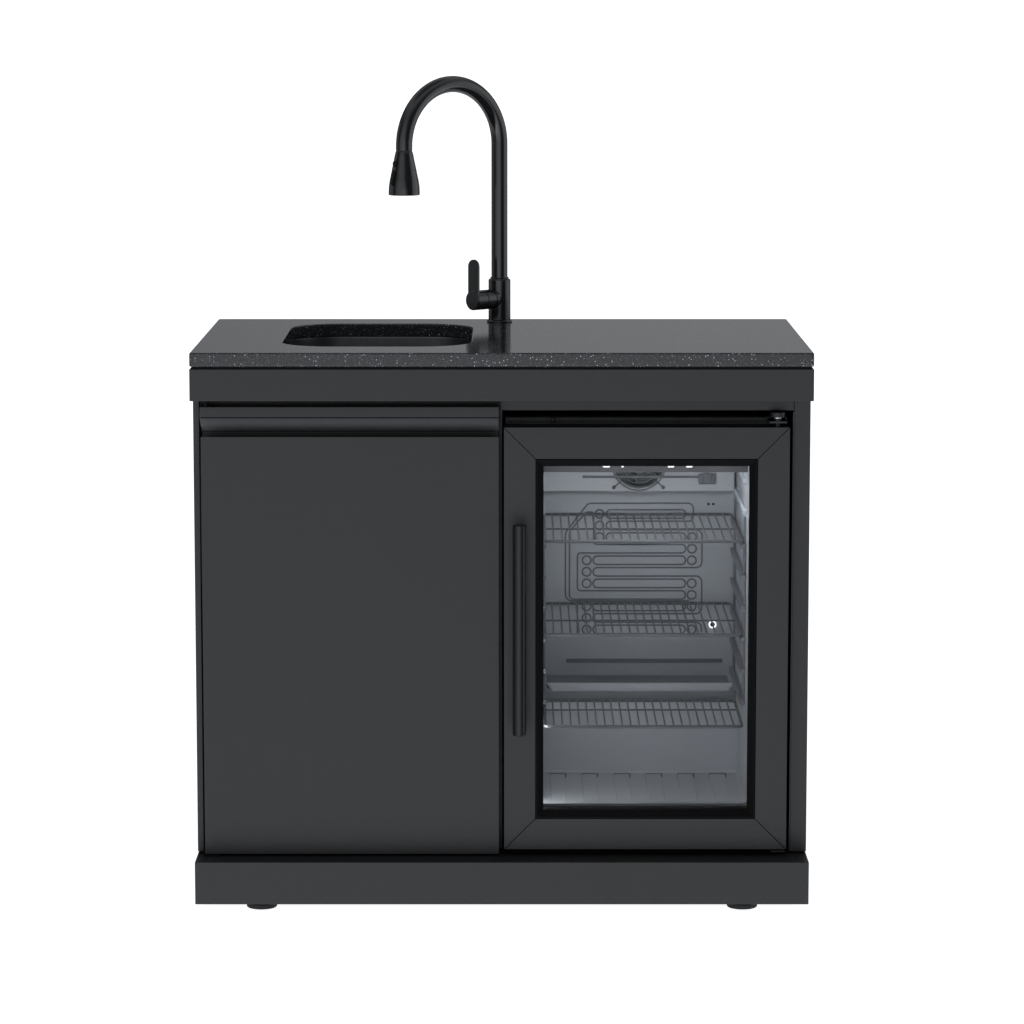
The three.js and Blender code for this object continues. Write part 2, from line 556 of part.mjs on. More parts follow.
function machinery() {
  const z = FR.z0 + 8;
  const dome = [[0, z], [60, z], [64, z + 10], [64, z + 118], [52, z + 146], [24, z + 156], [0, z + 158]];
  add('compressor', turned(COMPRESSOR.x, COMPRESSOR.y, dome, 24), MAT.iron);
  const k = CONDENSER;
  add('condenser', block(k.x0, k.x1, k.y0, k.y1, z, z + k.tall), MAT.iron);
  fan('condenser_fan', (k.x0 + k.x1) / 2, k.fanY, z + k.tall / 2 + 1, k.fanR, 5, MAT.black);
  const g = GRILLE;
  const grille = block(g.x0, g.x1, FR.y1 + GAP, FR.y1 + GAP + 2, FR.z0 + 6, CAVITY.stepZ - 12);
  const slots = [];
  for (let i = 0; i < g.count; i += 1) {
    const low = g.z + g.pitch * i;
    slots.push(block(g.slot0, g.slot1, FR.y1 - 5, FR.y1 + 9, low, low + g.tall));
  }
  add('rear_grille', cut(grille, ...slots), MAT.black);
}

function fridgeDoor() {
  const d = FDOOR;
  const { x, y, hole, deep } = FHINGE;
  const ring = frameXZ(d.x0, d.x1, d.z0, d.z1, d.frame, DOOR_FRONT, d.back);
  const upperHole = rod(x, y, d.z1 - deep - 4, d.z1 + 1, hole);
  const lowerHole = rod(x, y, d.z0 - 1, d.z0 + deep + 4, hole);
  add('fridge_door_frame', cut(ring, upperHole, lowerHole), MAT.panel);
  const o = d.frame + GAP;
  const beadBack = DOOR_FRONT + 14;
  const bead = frameXZ(d.x0 + o, d.x1 - o, d.z0 + o, d.z1 - o, d.bead, DOOR_FRONT + 1, beadBack);
  add('fridge_door_bead', bead, MAT.shadow);
  const g = o + 3;
  const glass = block(d.x0 + g, d.x1 - g, beadBack + GAP, d.back - 6, d.z0 + g, d.z1 - g);
  add('fridge_glass', glass, MAT.glass);
  add('fridge_gasket', frameXZ(21, 448, 116, 778, 14, d.back + GAP, FR.y0 - 0.7), MAT.rubber);
  const h = HANDLE;
  const posts = h.posts.map((z) => rodY(h.x, z, h.y, DOOR_FRONT - GAP, h.postR, 16));
  add('fridge_handle', join(rod(h.x, h.y, h.z0, h.z1, h.r, 24), ...posts), MAT.black);
}

function fridgeHinges() {
  const { x, y, pin, deep } = FHINGE;
  const back = FR.y0 - GAP;
  const topArm = block(432, 461, y - 9, back, 801.5, 804.5);
  const topLeaf = block(432, 461, back - 3, back, 797, 804.5);
  const knuckle = join(rod(x, y, 804, 808, 6.5, 24), rod(x, y, 811, 818.5, 12, 24));
  const topPin = rod(x, y, FDOOR.z1 - deep, 812, pin);
  add('fridge_hinge_top', join(topArm, topLeaf, topPin, knuckle), MAT.steel);
  const lowArm = block(441, 464, y - 8, back, 93.2, 96.2);
  const lowLeaf = block(441, 464, back - 3, back, 93.2, 112);
  add('fridge_hinge_bottom', join(lowArm, lowLeaf, rod(x, y, 94, FDOOR.z0 + deep, pin)), MAT.steel);
}

worktop();
subframe();
apron();
carcass();
backPanel();
plinth();
cupboardDoor();
cupboardPivots();
sinkBowl();
sinkDrain();
drainTrap();
inletValve();
tapBody();
tapSpout();
sprayHead();
tapLever();
fridgeCase();
coolingInside();
SHELVES.forEach(shelf);
shelfSupport('shelf_support_left', CAVITY.x0 + GAP, 1);
shelfSupport('shelf_support_right', CAVITY.x1 - GAP, -1);
machinery();
fridgeDoor();
fridgeHinges();

export default part;
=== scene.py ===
"""Looks of an outdoor bar cabinet: stone worktop with a sink, pull-down mixer tap,
cupboard and glass-door beverage refrigerator. Metres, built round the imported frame."""
import json
from math import cos, hypot, pi, radians, sin, tan

import bmesh
import bpy
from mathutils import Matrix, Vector
from mathutils.geometry import tessellate_polygon


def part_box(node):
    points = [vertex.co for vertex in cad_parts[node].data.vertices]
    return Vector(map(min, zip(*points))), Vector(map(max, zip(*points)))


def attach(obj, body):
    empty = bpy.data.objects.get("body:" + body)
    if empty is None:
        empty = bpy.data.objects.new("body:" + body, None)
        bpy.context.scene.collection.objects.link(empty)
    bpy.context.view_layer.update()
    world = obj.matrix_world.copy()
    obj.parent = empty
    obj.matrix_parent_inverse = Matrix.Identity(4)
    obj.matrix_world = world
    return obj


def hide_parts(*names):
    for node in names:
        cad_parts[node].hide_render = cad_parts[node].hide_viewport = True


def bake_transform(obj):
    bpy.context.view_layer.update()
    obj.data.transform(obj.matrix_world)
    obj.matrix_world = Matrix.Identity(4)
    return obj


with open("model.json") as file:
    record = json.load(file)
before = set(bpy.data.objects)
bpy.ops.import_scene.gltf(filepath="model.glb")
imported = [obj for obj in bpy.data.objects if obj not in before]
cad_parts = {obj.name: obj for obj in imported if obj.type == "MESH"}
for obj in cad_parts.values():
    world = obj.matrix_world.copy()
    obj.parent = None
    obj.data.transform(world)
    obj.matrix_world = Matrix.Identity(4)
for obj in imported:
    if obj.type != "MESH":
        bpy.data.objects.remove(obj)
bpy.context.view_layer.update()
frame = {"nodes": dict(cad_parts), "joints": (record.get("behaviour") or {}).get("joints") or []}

MM = 0.001
UPWARDS = (0, 0, 1)
BACKWARDS = (0, 1, 0)
FORWARDS = (0, -1, 0)
scene = bpy.context.scene


# ---- reading the frame -----------------------------------------------------
def joint(name):
    return next(j for j in frame["joints"] if j["name"] == name)


def joint_at(name):
    return Vector(joint(name)["pos_m"])


def centre(node):
    low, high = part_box(node)
    return (low + high) / 2


TAP = centre("tap_body")
HEAD = centre("spray_head")
TAP_FOOT_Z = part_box("worktop")[1].z
SPOUT_WAY = Vector((HEAD.x - TAP.x, HEAD.y - TAP.y, 0)).normalized()
LEVER_WAY = Vector(joint("lever_mix")["axis"])
BALL = joint_at("lever_mix")
BALL_RADIUS = 0.016
BALL_ROOM = 0.0166
TUBE_RADIUS = 0.014
SHAFT_LONG = 0.070


# ---- mesh building ---------------------------------------------------------
def mesh_from(verts, faces):
    """A mesh with its faces turned outwards."""
    mesh = bpy.data.meshes.new("mesh")
    mesh.from_pydata([tuple(v) for v in verts], [], faces)
    bm = bmesh.new()
    bm.from_mesh(mesh)
    bmesh.ops.remove_doubles(bm, verts=bm.verts, dist=1e-7)
    bmesh.ops.recalc_face_normals(bm, faces=bm.faces)
    bm.to_mesh(mesh)
    bm.free()
    return mesh


def joined(meshes):
    """Several meshes as one, with their faces as they are."""
    bm = bmesh.new()
    for mesh in meshes:
        bm.from_mesh(mesh)
    out = bpy.data.meshes.new("joined")
    bm.to_mesh(out)
    bm.free()
    return out


def shade(mesh, angle):
    mesh.shade_smooth()
    mesh.set_sharp_from_angle(angle=radians(angle))


def linked(mesh, name="passing"):
    """An object in the scene; the unnamed ones only carry a mesh through its modifiers."""
    obj = bpy.data.objects.new(name, mesh)
    scene.collection.objects.link(obj)
    return obj


def evaluated(obj):
    """The object's mesh with its modifiers applied; the object itself is removed."""
    graph = bpy.context.evaluated_depsgraph_get()
    out = bpy.data.meshes.new_from_object(obj.evaluated_get(graph))
    bpy.data.objects.remove(obj)
    return out


def even_shading(mesh, angle):
    """Smooth shading up to an angle, with normals that follow the broad faces."""
    shade(mesh, angle)
    obj = linked(mesh)
    obj.modifiers.new("normals", "WEIGHTED_NORMAL").keep_sharp = True
    return evaluated(obj)


def piece(name, mesh, material, node=None, body="root", angle=35):
    """A finished part of the object on its body, in place of a CAD node where it has one."""
    mesh = even_shading(mesh, angle)
    obj = linked(mesh, name)
    mesh.materials.clear()
    mesh.materials.append(material)
    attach(obj, body)
    if node:
        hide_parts(node)


def rounded(mesh, width, segments=3, angle=30):
    """The same mesh with its sharp edges rounded."""
    obj = linked(mesh)
    bevel = obj.modifiers.new("bevel", "BEVEL")
    bevel.width = width
    bevel.segments = segments
    bevel.limit_method = "ANGLE"
    bevel.angle_limit = radians(angle)
    return evaluated(obj)


def carved(mesh, tools, union=False):
    """The mesh with each of the tool meshes cut away from it, or joined to it."""
    obj = linked(mesh)
    helpers = [linked(tool) for tool in tools]
    for helper in helpers:
        cut = obj.modifiers.new("cut", "BOOLEAN")
        cut.operation = "UNION" if union else "DIFFERENCE"
        cut.solver = "EXACT"
        cut.object = helper
    out = evaluated(obj)
    for helper in helpers:
        bpy.data.objects.remove(helper)
    return out


def quad(x0, x1, y0, y1, z_front, z_rear):
    """Four corners of a rectangle that may slope from front to rear."""
    return [(x0, y0, z_front), (x1, y0, z_front), (x1, y1, z_rear), (x0, y1, z_rear)]


def block(low, high):
    """A plain box between two corners."""
    (x0, y0, z0), (x1, y1, z1) = low, high
    verts = quad(x0, x1, y0, y1, z0, z0) + quad(x0, x1, y0, y1, z1, z1)
    faces = [(0, 3, 2, 1), (4, 5, 6, 7), (0, 1, 5, 4), (1, 2, 6, 5), (2, 3, 7, 6), (3, 0, 4, 7)]
    return mesh_from(verts, faces)


def soft_block(low, high, edge, segments=2):
    return rounded(block(low, high), edge, segments)


def cad_mesh(node):
    """A copy of a CAD node's mesh with its coplanar triangles merged."""
    mesh = frame["nodes"][node].data.copy()
    bm = bmesh.new()
    bm.from_mesh(mesh)
    bmesh.ops.remove_doubles(bm, verts=bm.verts, dist=1e-6)
    bmesh.ops.dissolve_limit(bm, angle_limit=radians(0.5), verts=bm.verts, edges=bm.edges)
    bm.to_mesh(mesh)
    bm.free()
    return mesh


def cad_piece(node, name, edge, material, body="root", segments=3, angle=35):
    """A piece with the CAD node's own shape and rounded edges."""
    piece(name, rounded(cad_mesh(node), edge, segments), material, node, body, angle)


def filleted(corners, steps=6):
    """An open line of (x, y) corners; one given as (x, y, radius) becomes an arc."""
    line = []
    for i, corner in enumerate(corners):
        p = Vector(corner[:2])
        radius = corner[2] if len(corner) > 2 else 0
        if not radius or i in (0, len(corners) - 1):
            line.append(p)
            continue
        a = (Vector(corners[i - 1][:2]) - p).normalized()
        b = (Vector(corners[i + 1][:2]) - p).normalized()
        half = a.angle(b) / 2
        reach = radius / tan(half)
        hub = p + (a + b).normalized() * (radius / sin(half))
        start = p + a * reach - hub
        turn = start.angle_signed(p + b * reach - hub)
        for k in range(steps + 1):
            t = -turn * k / steps
            line.append(hub + Vector((start.x * cos(t) - start.y * sin(t),
                                      start.x * sin(t) + start.y * cos(t))))
    return line


def turned(profile, at=(0, 0, 0), axis=UPWARDS, sides=72, closed=False):
    """A solid of revolution; the profile is (radius, height) corners, measured from `at` along axis."""
    turn = Vector(UPWARDS).rotation_difference(Vector(axis)).to_matrix()
    base = Vector(at)
    verts = []
    rings = []
    for r, h in filleted(profile):
        count = sides if r > 1e-7 else 1
        rings.append(range(len(verts), len(verts) + count))
        for k in range(count):
            a = 2 * pi * k / sides
            verts.append(base + turn @ Vector((r * cos(a), r * sin(a), h)))
    faces = []
    pairs = list(zip(rings, rings[1:]))
    if closed:
        pairs.append((rings[-1], rings[0]))
    for low, high in pairs:
        for k in range(sides):
            n = (k + 1) % sides
            corners = [low[k % len(low)], low[n % len(low)], high[n % len(high)], high[k % len(high)]]
            unique = list(dict.fromkeys(corners))
            if len(unique) > 2:
                faces.append(unique)
    return mesh_from(verts, faces)


def cylinder(radius, start, end):
    """Profile of a plain cylinder."""
    return [(0, start), (radius, start), (radius, end), (0, end)]


def sphere(radius, step=6):
    """Profile of a ball, with a corner every `step` degrees."""
    bearings = [radians(a) for a in range(step - 90, 90, step)]
    return [(0, -radius)] + [(radius * cos(a), radius * sin(a)) for a in bearings] + [(0, radius)]


def thread(start, end, core, crest, half, pitch):
    """Profile of thread ridges between two heights, and the height where they stop."""
    profile = []
    h = start
    while h < end:
        profile += [(core, h), (crest, h + half), (core, h + 2 * half)]
        h += pitch
    return profile, h


def loft(loops, ring=False):
    """Skin over loops with the same number of points; a ring also joins the last loop to the first."""
    n = len(loops[0])
    last = len(loops) - 1
    verts = [p for loop in loops for p in loop]
    faces = []
    for a, b in [(i, i + 1) for i in range(last)] + ([(last, 0)] if ring else []):
        for k in range(n):
            m = (k + 1) % n
            faces.append((a * n + k, a * n + m, b * n + m, b * n + k))
    if not ring:
        faces.append(tuple(reversed(range(n))))
        faces.append(tuple(range(last * n, (last + 1) * n)))
    return mesh_from(verts, faces)


def tube(path, radius, sides=16, closed=False):
    """A round bar along a path, with its frames carried smoothly round the bends."""
    points = [Vector(p) for p in path]
    count = len(points)
    tangents = []
    for i in range(count):
        before = points[i - 1] if (i or closed) else points[0]
        after = points[(i + 1) % count] if (i < count - 1 or closed) else points[-1]
        tangents.append((after - before).normalized())
    side = tangents[0].orthogonal().normalized()
    loops = []
    for i, point in enumerate(points):
        if i:
            side.rotate(tangents[i - 1].rotation_difference(tangents[i]))
        up = tangents[i].cross(side).normalized()
        r = radius[i] if isinstance(radius, list) else radius
        loops.append([point + (side * cos(2 * pi * k / sides) + up * sin(2 * pi * k / sides)) * r
                      for k in range(sides)])
    return loft(loops, ring=closed)


def rods(bars, sides):
    """Straight round bars, each (start, end, radius), in one mesh."""
    return joined([tube((start, end), radius, sides) for start, end, radius in bars])


def rounded_loop(x0, x1, y0, y1, radius, steps=8):
    """Counter-clockwise rectangle with round corners, as (x, y)."""
    loop = []
    corners = ((x1, y0, -pi / 2), (x1, y1, 0), (x0, y1, pi / 2), (x0, y0, pi))
    for cx, cy, start in corners:
        hx = cx - radius if cx == x1 else cx + radius
        hy = cy - radius if cy == y1 else cy + radius
        for k in range(steps + 1):
            a = start + pi / 2 * k / steps
            loop.append((hx + radius * cos(a), hy + radius * sin(a)))
    return loop


def circle_loop(x, y, radius, count, phase=0):
    bearings = [2 * pi * (k + phase) / count for k in range(count)]
    return [(x + radius * cos(a), y + radius * sin(a)) for a in bearings]


def flat(u, v, w):
    return (u, v, w)


def upright(u, v, w):
    """(u, v) in the XZ plane, w towards the back."""
    return (u, w, v)


def plate(outlines, w0, w1, edge, place=flat, steps=4):
    """A plate with round-edged holes; outlines(inset) gives the outline, then the holes, shrunk by inset."""
    levels = []
    for k in range(steps + 1):
        a = pi / 2 * k / steps
        levels.append((edge * (1 - sin(a)), w0 + edge * (1 - cos(a))))
    levels += [(inset, w0 + w1 - w) for inset, w in reversed(levels)]
    verts = []
    starts = []
    for inset, w in levels:
        rows = []
        for loop in outlines(inset):
            rows.append((len(verts), len(loop)))
            verts += [place(u, v, w) for u, v in loop]
        starts.append(rows)
    faces = []
    for low, high in zip(starts, starts[1:]):
        for (a, n), (b, _) in zip(low, high):
            faces += [(a + k, a + (k + 1) % n, b + (k + 1) % n, b + k) for k in range(n)]
    cap = tessellate_polygon([[Vector((u, v, 0)) for u, v in loop] for loop in outlines(levels[0][0])])
    offset = starts[-1][0][0]
    faces += [tuple(t) for t in cap]
    faces += [tuple(offset + i for i in t) for t in cap]
    return mesh_from(verts, faces)


def cut_sheet(loops, w0, w1, place=upright):
    """A sharp-edged plate; the loops are its outline, then its holes."""
    return plate(lambda inset: loops, w0, w1, 0.0, place, 1)


def spline(p, t):
    """Catmull-Rom through p[1]..p[2]."""
    return 0.5 * (2 * p[1] + (p[2] - p[0]) * t + (2 * p[0] - 5 * p[1] + 4 * p[2] - p[3]) * t ** 2
                  + (3 * p[1] - p[0] - 3 * p[2] + p[3]) * t ** 3)


def cap_screw(at, axis, radius=0.0035, high=0.0016):
    """A domed screw head with a round socket, its seat at `at`."""
    return turned([(0, -0.0004), (radius, -0.0004), (radius, high * 0.25),
                   (radius * 0.85, high * 0.75, radius * 0.2), (radius * 0.45, high),
                   (radius * 0.4, high * 0.3), (0, high * 0.3)], at, axis, sides=24)


# ---- materials -------------------------------------------------------------
RGBA_A, RGBA_B, RGBA_OUT = 6, 7, 2  # a mix node's colour sockets


class Nodes:
    """A node tree under construction."""

    def __init__(self, tree):
        self.nodes = tree.nodes
        self.links = tree.links

    def feed(self, socket, value):
        """Links a value into an input if it comes from a node, or else sets it."""
        if isinstance(value, bpy.types.NodeSocket):
            self.links.new(value, socket)
        else:
            socket.default_value = value

    def node(self, kind, settings=(), **inputs):
        made = self.nodes.new(kind)
        for key, value in settings:
            setattr(made, key, value)
        for key, value in inputs.items():
            self.feed(made.inputs[key.replace("_", " ")], value)
        return made

    def math(self, operation, a, b):
        made = self.node("ShaderNodeMath", (("operation", operation),))
        self.feed(made.inputs[0], a)
        self.feed(made.inputs[1], b)
        return made.outputs[0]


class Look(Nodes):
    """A Principled material under construction."""

    def __init__(self, name, rgb, roughness, metallic=0.0, **values):
        self.mat = bpy.data.materials.new(name)
        self.mat.use_nodes = True
        super().__init__(self.mat.node_tree)
        self.bsdf = self.nodes["Principled BSDF"]
        self.rgb = rgb
        self.set("Base Color", (*rgb, 1))
        self.set("Roughness", roughness)
        self.set("Metallic", metallic)
        for socket, value in values.items():
            self.set(socket.replace("_", " "), value)
        self.where = self.node("ShaderNodeTexCoord").outputs["Object"]

    def set(self, socket, value):
        """Sets or links an input of the Principled shader."""
        self.feed(self.bsdf.inputs[socket], value)

    def noise(self, scale, detail=3.0, stretch=(1, 1, 1)):
        spot = self.node("ShaderNodeMapping", Vector=self.where, Scale=stretch).outputs[0]
        return self.node("ShaderNodeTexNoise", Vector=spot, Scale=scale, Detail=detail).outputs["Fac"]

    def ramp(self, value, stops):
        made = self.node("ShaderNodeValToRGB", Fac=value)
        elements = made.color_ramp.elements
        while len(elements) < len(stops):
            elements.new(0.5)
        for element, (at, colour) in zip(elements, stops):
            element.position = at
            element.color = (*colour, 1)
        return made.outputs["Color"]

    def vary(self, fac, amount):
        """Lets the base colour wander by a share of itself."""
        dark = tuple(c * (1 - amount) for c in self.rgb)
        light = tuple(min(1, c * (1 + amount)) for c in self.rgb)
        self.set("Base Color", self.ramp(fac, [(0.3, dark), (0.7, light)]))

    def rough(self, fac, low, high):
        self.set("Roughness", self.ramp(fac, [(0.3, (low,) * 3), (0.7, (high,) * 3)]))

    def bump(self, fac, strength, distance):
        made = self.node("ShaderNodeBump", Strength=strength, Distance=distance, Height=fac)
        self.set("Normal", made.outputs["Normal"])

    def glow(self, rgb, strength):
        self.set("Emission Color", (*rgb, 1))
        self.set("Emission Strength", strength)


def coated(name, rgb, roughness, peel=0.12, **values):
    """Powder coat or satin lacquer: a fine orange peel and a faint drift of tone."""
    look = Look(name, rgb, roughness, **values)
    look.vary(look.noise(5, 2), 0.03)
    look.rough(look.noise(200, 3), roughness * 0.9, roughness * 1.1)
    look.bump(look.noise(1400, 2), peel, 0.0002)
    return look.mat


def painted_light_pull_coat(name, rgb, low, high):
    """Powder coat of the pull in a lighter tone than the panels, as painted light: paler down its slope as
    painted light, black in the finger pocket below it as painted shade.
    """
    look = Look(name, rgb, 0.45)
    height = look.node("ShaderNodeSeparateXYZ", Vector=look.where).outputs["Z"]
    rise = look.node("ShaderNodeMapRange", Value=height, From_Min=low, From_Max=high).outputs["Result"]
    # pale is painted light on the slope, dark is painted shade in the finger pocket
    pale = tuple(c * 2.6 for c in rgb)
    dark = tuple(c * 0.05 for c in rgb)
    look.set("Base Color", look.ramp(rise, [(0.0, dark), (0.17, dark), (0.24, pale), (1.0, rgb)]))
    look.rough(look.noise(200, 3), 0.40, 0.50)
    look.bump(look.noise(1400, 2), 0.12, 0.0002)
    return look.mat


def granite(name):
    """Dark polished stone with scattered white and grey flecks of three sizes."""
    look = Look(name, (0.04, 0.042, 0.046), 0.2)
    ground = [(0.38, (0.012, 0.0125, 0.014)), (0.62, (0.042, 0.044, 0.048))]
    fleck_tones = [(0.0, (0.07, 0.073, 0.078)), (0.7, (0.3, 0.31, 0.33)), (1.0, (0.85, 0.87, 0.9))]
    colour = look.ramp(look.noise(650, 4), ground)
    for scale, size, rarity in ((620, 0.34, 0.80), (300, 0.26, 0.80), (130, 0.17, 0.84)):
        cells = look.node("ShaderNodeTexVoronoi", Vector=look.where, Scale=scale)
        parts = look.node("ShaderNodeSeparateColor", Color=cells.outputs["Color"])
        inside = look.math("LESS_THAN", cells.outputs["Distance"], size)
        chosen = look.math("GREATER_THAN", parts.outputs["Red"], rarity)
        mix = look.node("ShaderNodeMix", (("data_type", "RGBA"),))
        look.feed(mix.inputs[0], look.math("MULTIPLY", inside, chosen))
        look.feed(mix.inputs[RGBA_A], colour)
        look.feed(mix.inputs[RGBA_B], look.ramp(parts.outputs["Green"], fleck_tones))
        colour = mix.outputs[RGBA_OUT]
    look.set("Base Color", colour)
    look.rough(look.noise(300, 2), 0.10, 0.13)
    look.bump(look.noise(900, 2), 0.01, 0.0001)
    return look.mat


def brushed(name, rgb, roughness, stretch=(40, 1, 1)):
    """Metal with fine drawn lines along one axis."""
    look = Look(name, rgb, roughness, 1.0)
    lines = look.noise(90, 4, stretch)
    look.vary(lines, 0.08)
    look.rough(lines, roughness - 0.06, roughness + 0.08)
    look.bump(lines, 0.08, 0.0001)
    return look.mat


def moulded(name, rgb, roughness, grain=700):
    """Moulded plastic or rubber with a fine spark texture."""
    look = Look(name, rgb, roughness)
    look.vary(look.noise(8, 2), 0.04)
    look.rough(look.noise(120, 2), roughness - 0.04, roughness + 0.06)
    look.bump(look.noise(grain, 2), 0.1, 0.0002)
    return look.mat


def clear_glass(name, tint, alpha):
    look = Look(name, tint, 0.03, Alpha=alpha, IOR=1.5)
    look.vary(look.noise(3, 1), 0.06)
    look.rough(look.noise(14, 2), 0.02, 0.05)
    look.bump(look.noise(2.5, 1), 0.02, 0.0005)
    return look.mat


def glowing(name, rgb, strength):
    look = Look(name, rgb, 0.4)
    look.vary(look.noise(60, 2), 0.05)
    look.glow(rgb, strength)
    return look.mat


STONE = granite("speckled_granite")
PANEL = coated("anthracite_powder_coat", (0.0195, 0.0199, 0.0210), 0.45)
# lighter than the panels: painted light on the pull
PULL_COAT_PAINTED_LIGHT = painted_light_pull_coat("anthracite_pull_painted_light", (0.070, 0.0713, 0.0745), 0.780, 0.808)
# near black for the sheets in the shadow joint and shadow gap and for the door pivots: painted shade
SHADOW = coated("matt_black_painted_shade", (0.003, 0.003, 0.0033), 0.6, Specular_IOR_Level=0.2)
BEAD = coated("glazing_black", (0.004, 0.004, 0.0045), 0.6, 0.05, Specular_IOR_Level=0.1)
TAP_BLACK = coated("tap_satin_black", (0.012, 0.0125, 0.013), 0.12, 0.03, Specular_IOR_Level=0.8)
HANDLE_BLACK = coated("handle_satin_black", (0.010, 0.0104, 0.011), 0.2, 0.03, Specular_IOR_Level=0.42)
TAP_GREY = moulded("spray_face_rubber", (0.05, 0.052, 0.055), 0.6)
BUTTON = coated("spray_button_black", (0.004, 0.0042, 0.0045), 0.3, 0.02, Specular_IOR_Level=0.25)
HOSE = brushed("braided_hose", (0.35, 0.35, 0.36), 0.35, (1, 1, 8))
RUBBER = moulded("black_rubber", (0.015, 0.015, 0.016), 0.7)
STEEL = brushed("brushed_stainless", (0.56, 0.57, 0.58), 0.32)
SINK_STEEL = brushed("sink_gunmetal", (0.19, 0.193, 0.2), 0.38, (1, 30, 1))
ZINC = brushed("zinc_plated", (0.62, 0.62, 0.6), 0.35, (1, 1, 20))
BRASS = brushed("machined_brass", (0.62, 0.45, 0.2), 0.3, (1, 1, 20))
VALVE_RED = coated("valve_red", (0.35, 0.02, 0.015), 0.4)
PIPE = moulded("white_pipe", (0.72, 0.73, 0.74), 0.4)
LINER = moulded("fridge_liner_grey", (0.64, 0.665, 0.695), 0.45, 400)
COVER = moulded("cover_grey", (0.62, 0.64, 0.67), 0.4, 400)
PLATE = moulded("evaporator_coating", (0.55, 0.575, 0.605), 0.38, 300)
# darker grey: painted shade on the evaporator's pressed channels; the slot bar and the cover's dark band
# share it
DARK_GREY_AND_SHADE = moulded("dark_grey_and_painted_shade", (0.17, 0.178, 0.192), 0.4, 300)
WIRE = moulded("shelf_coating", (0.14, 0.147, 0.158), 0.35, 500)
CASE = coated("case_coated_sheet", (0.05, 0.052, 0.056), 0.45)
MACHINE = coated("machine_black", (0.012, 0.012, 0.013), 0.45, 0.2)
FIN = brushed("fin_aluminium", (0.5, 0.5, 0.5), 0.4, (1, 1, 30))
COPPER = brushed("copper_tube", (0.7, 0.32, 0.2), 0.3, (1, 1, 10))
FAN = moulded("fan_grey", (0.12, 0.125, 0.13), 0.45)
FASCIA = moulded("fascia_grey", (0.20, 0.207, 0.217), 0.4, 400)
GUARD = moulded("fan_guard_grey", (0.16, 0.166, 0.175), 0.4)
# darker than the liner: painted shade on the shelf ledges and the liner's darker bands; the air sensor shares
# it
LEDGE_GREY_AND_SHADE = moulded("ledge_grey_and_painted_shade", (0.22, 0.23, 0.245), 0.45, 400)
GLASS = clear_glass("door_glass", (0.03, 0.035, 0.04), 0.06)
# white that glows by emission though it is no lamp: painted light on the control marks and the drain plug
# ring
MARK_PAINTED_GLOW = glowing("white_mark_painted_glow", (0.9, 0.92, 0.95), 1.5)
LED = glowing("fridge_light", (0.95, 0.97, 1.0), 34.0)
SIDE_LED = glowing("fridge_side_light", (0.95, 0.97, 1.0), 16.0)
FOAM = moulded("insulation_foam", (0.6, 0.5, 0.3), 0.85)


# ---- worktop and sink ------------------------------------------------------
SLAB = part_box("worktop")
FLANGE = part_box("sink_bowl")
FLANGE_REACH = 0.022
CUT_CORNER = 0.085
TAP_HOLE = 0.0175
CUT = (FLANGE[0].x + FLANGE_REACH, FLANGE[1].x - FLANGE_REACH,
       FLANGE[0].y + FLANGE_REACH, FLANGE[1].y - FLANGE_REACH)
SINK = Vector(((CUT[0] + CUT[1]) / 2, (CUT[2] + CUT[3]) / 2, 0))
DRAIN_RADIUS = 0.043
CREASES = (0.62, 2.52, 3.76, 5.66)
CREASE_HALF = 0.006


def worktop():
    low, high = SLAB

    def outlines(inset):
        return [
            rounded_loop(low.x + inset, high.x - inset, low.y + inset, high.y - inset, 0.004, 4),
            rounded_loop(CUT[0] - inset, CUT[1] + inset, CUT[2] - inset, CUT[3] + inset,
                         CUT_CORNER + inset, 20),
            circle_loop(TAP.x, TAP.y, TAP_HOLE + inset, 48)]

    piece("stone_worktop", plate(outlines, low.z, high.z, 0.0024), STONE, "worktop")


def bowl_loop(grow, corner, z, share=1.0, crease=0.0, count=256):
    """Points round the sink by bearing; share 1 is its rounded rectangle, 0 the circle of the drain."""
    hx = (CUT[1] - CUT[0]) / 2 + grow
    hy = (CUT[3] - CUT[2]) / 2 + grow
    loop = []
    for k in range(count):
        a = 2 * pi * k / count
        c, s = cos(a), sin(a)
        reach = min(hx / abs(c) if c else hypot(hx, hy), hy / abs(s) if s else hypot(hx, hy))
        ox, oy = hx - corner, hy - corner
        if abs(c) * reach > ox and abs(s) * reach > oy:
            along = ox * abs(c) + oy * abs(s)
            reach = along + (along * along - (ox * ox + oy * oy - corner * corner)) ** 0.5
        if share < 1:
            reach = reach * share + DRAIN_RADIUS * (1 - share)
        dip = sum(max(0.0, 1 - abs(reach * sin(a - t)) / CREASE_HALF) for t in CREASES if cos(a - t) > 0)
        loop.append(SINK + Vector((reach * c, reach * s, z - crease * dip)))
    return loop


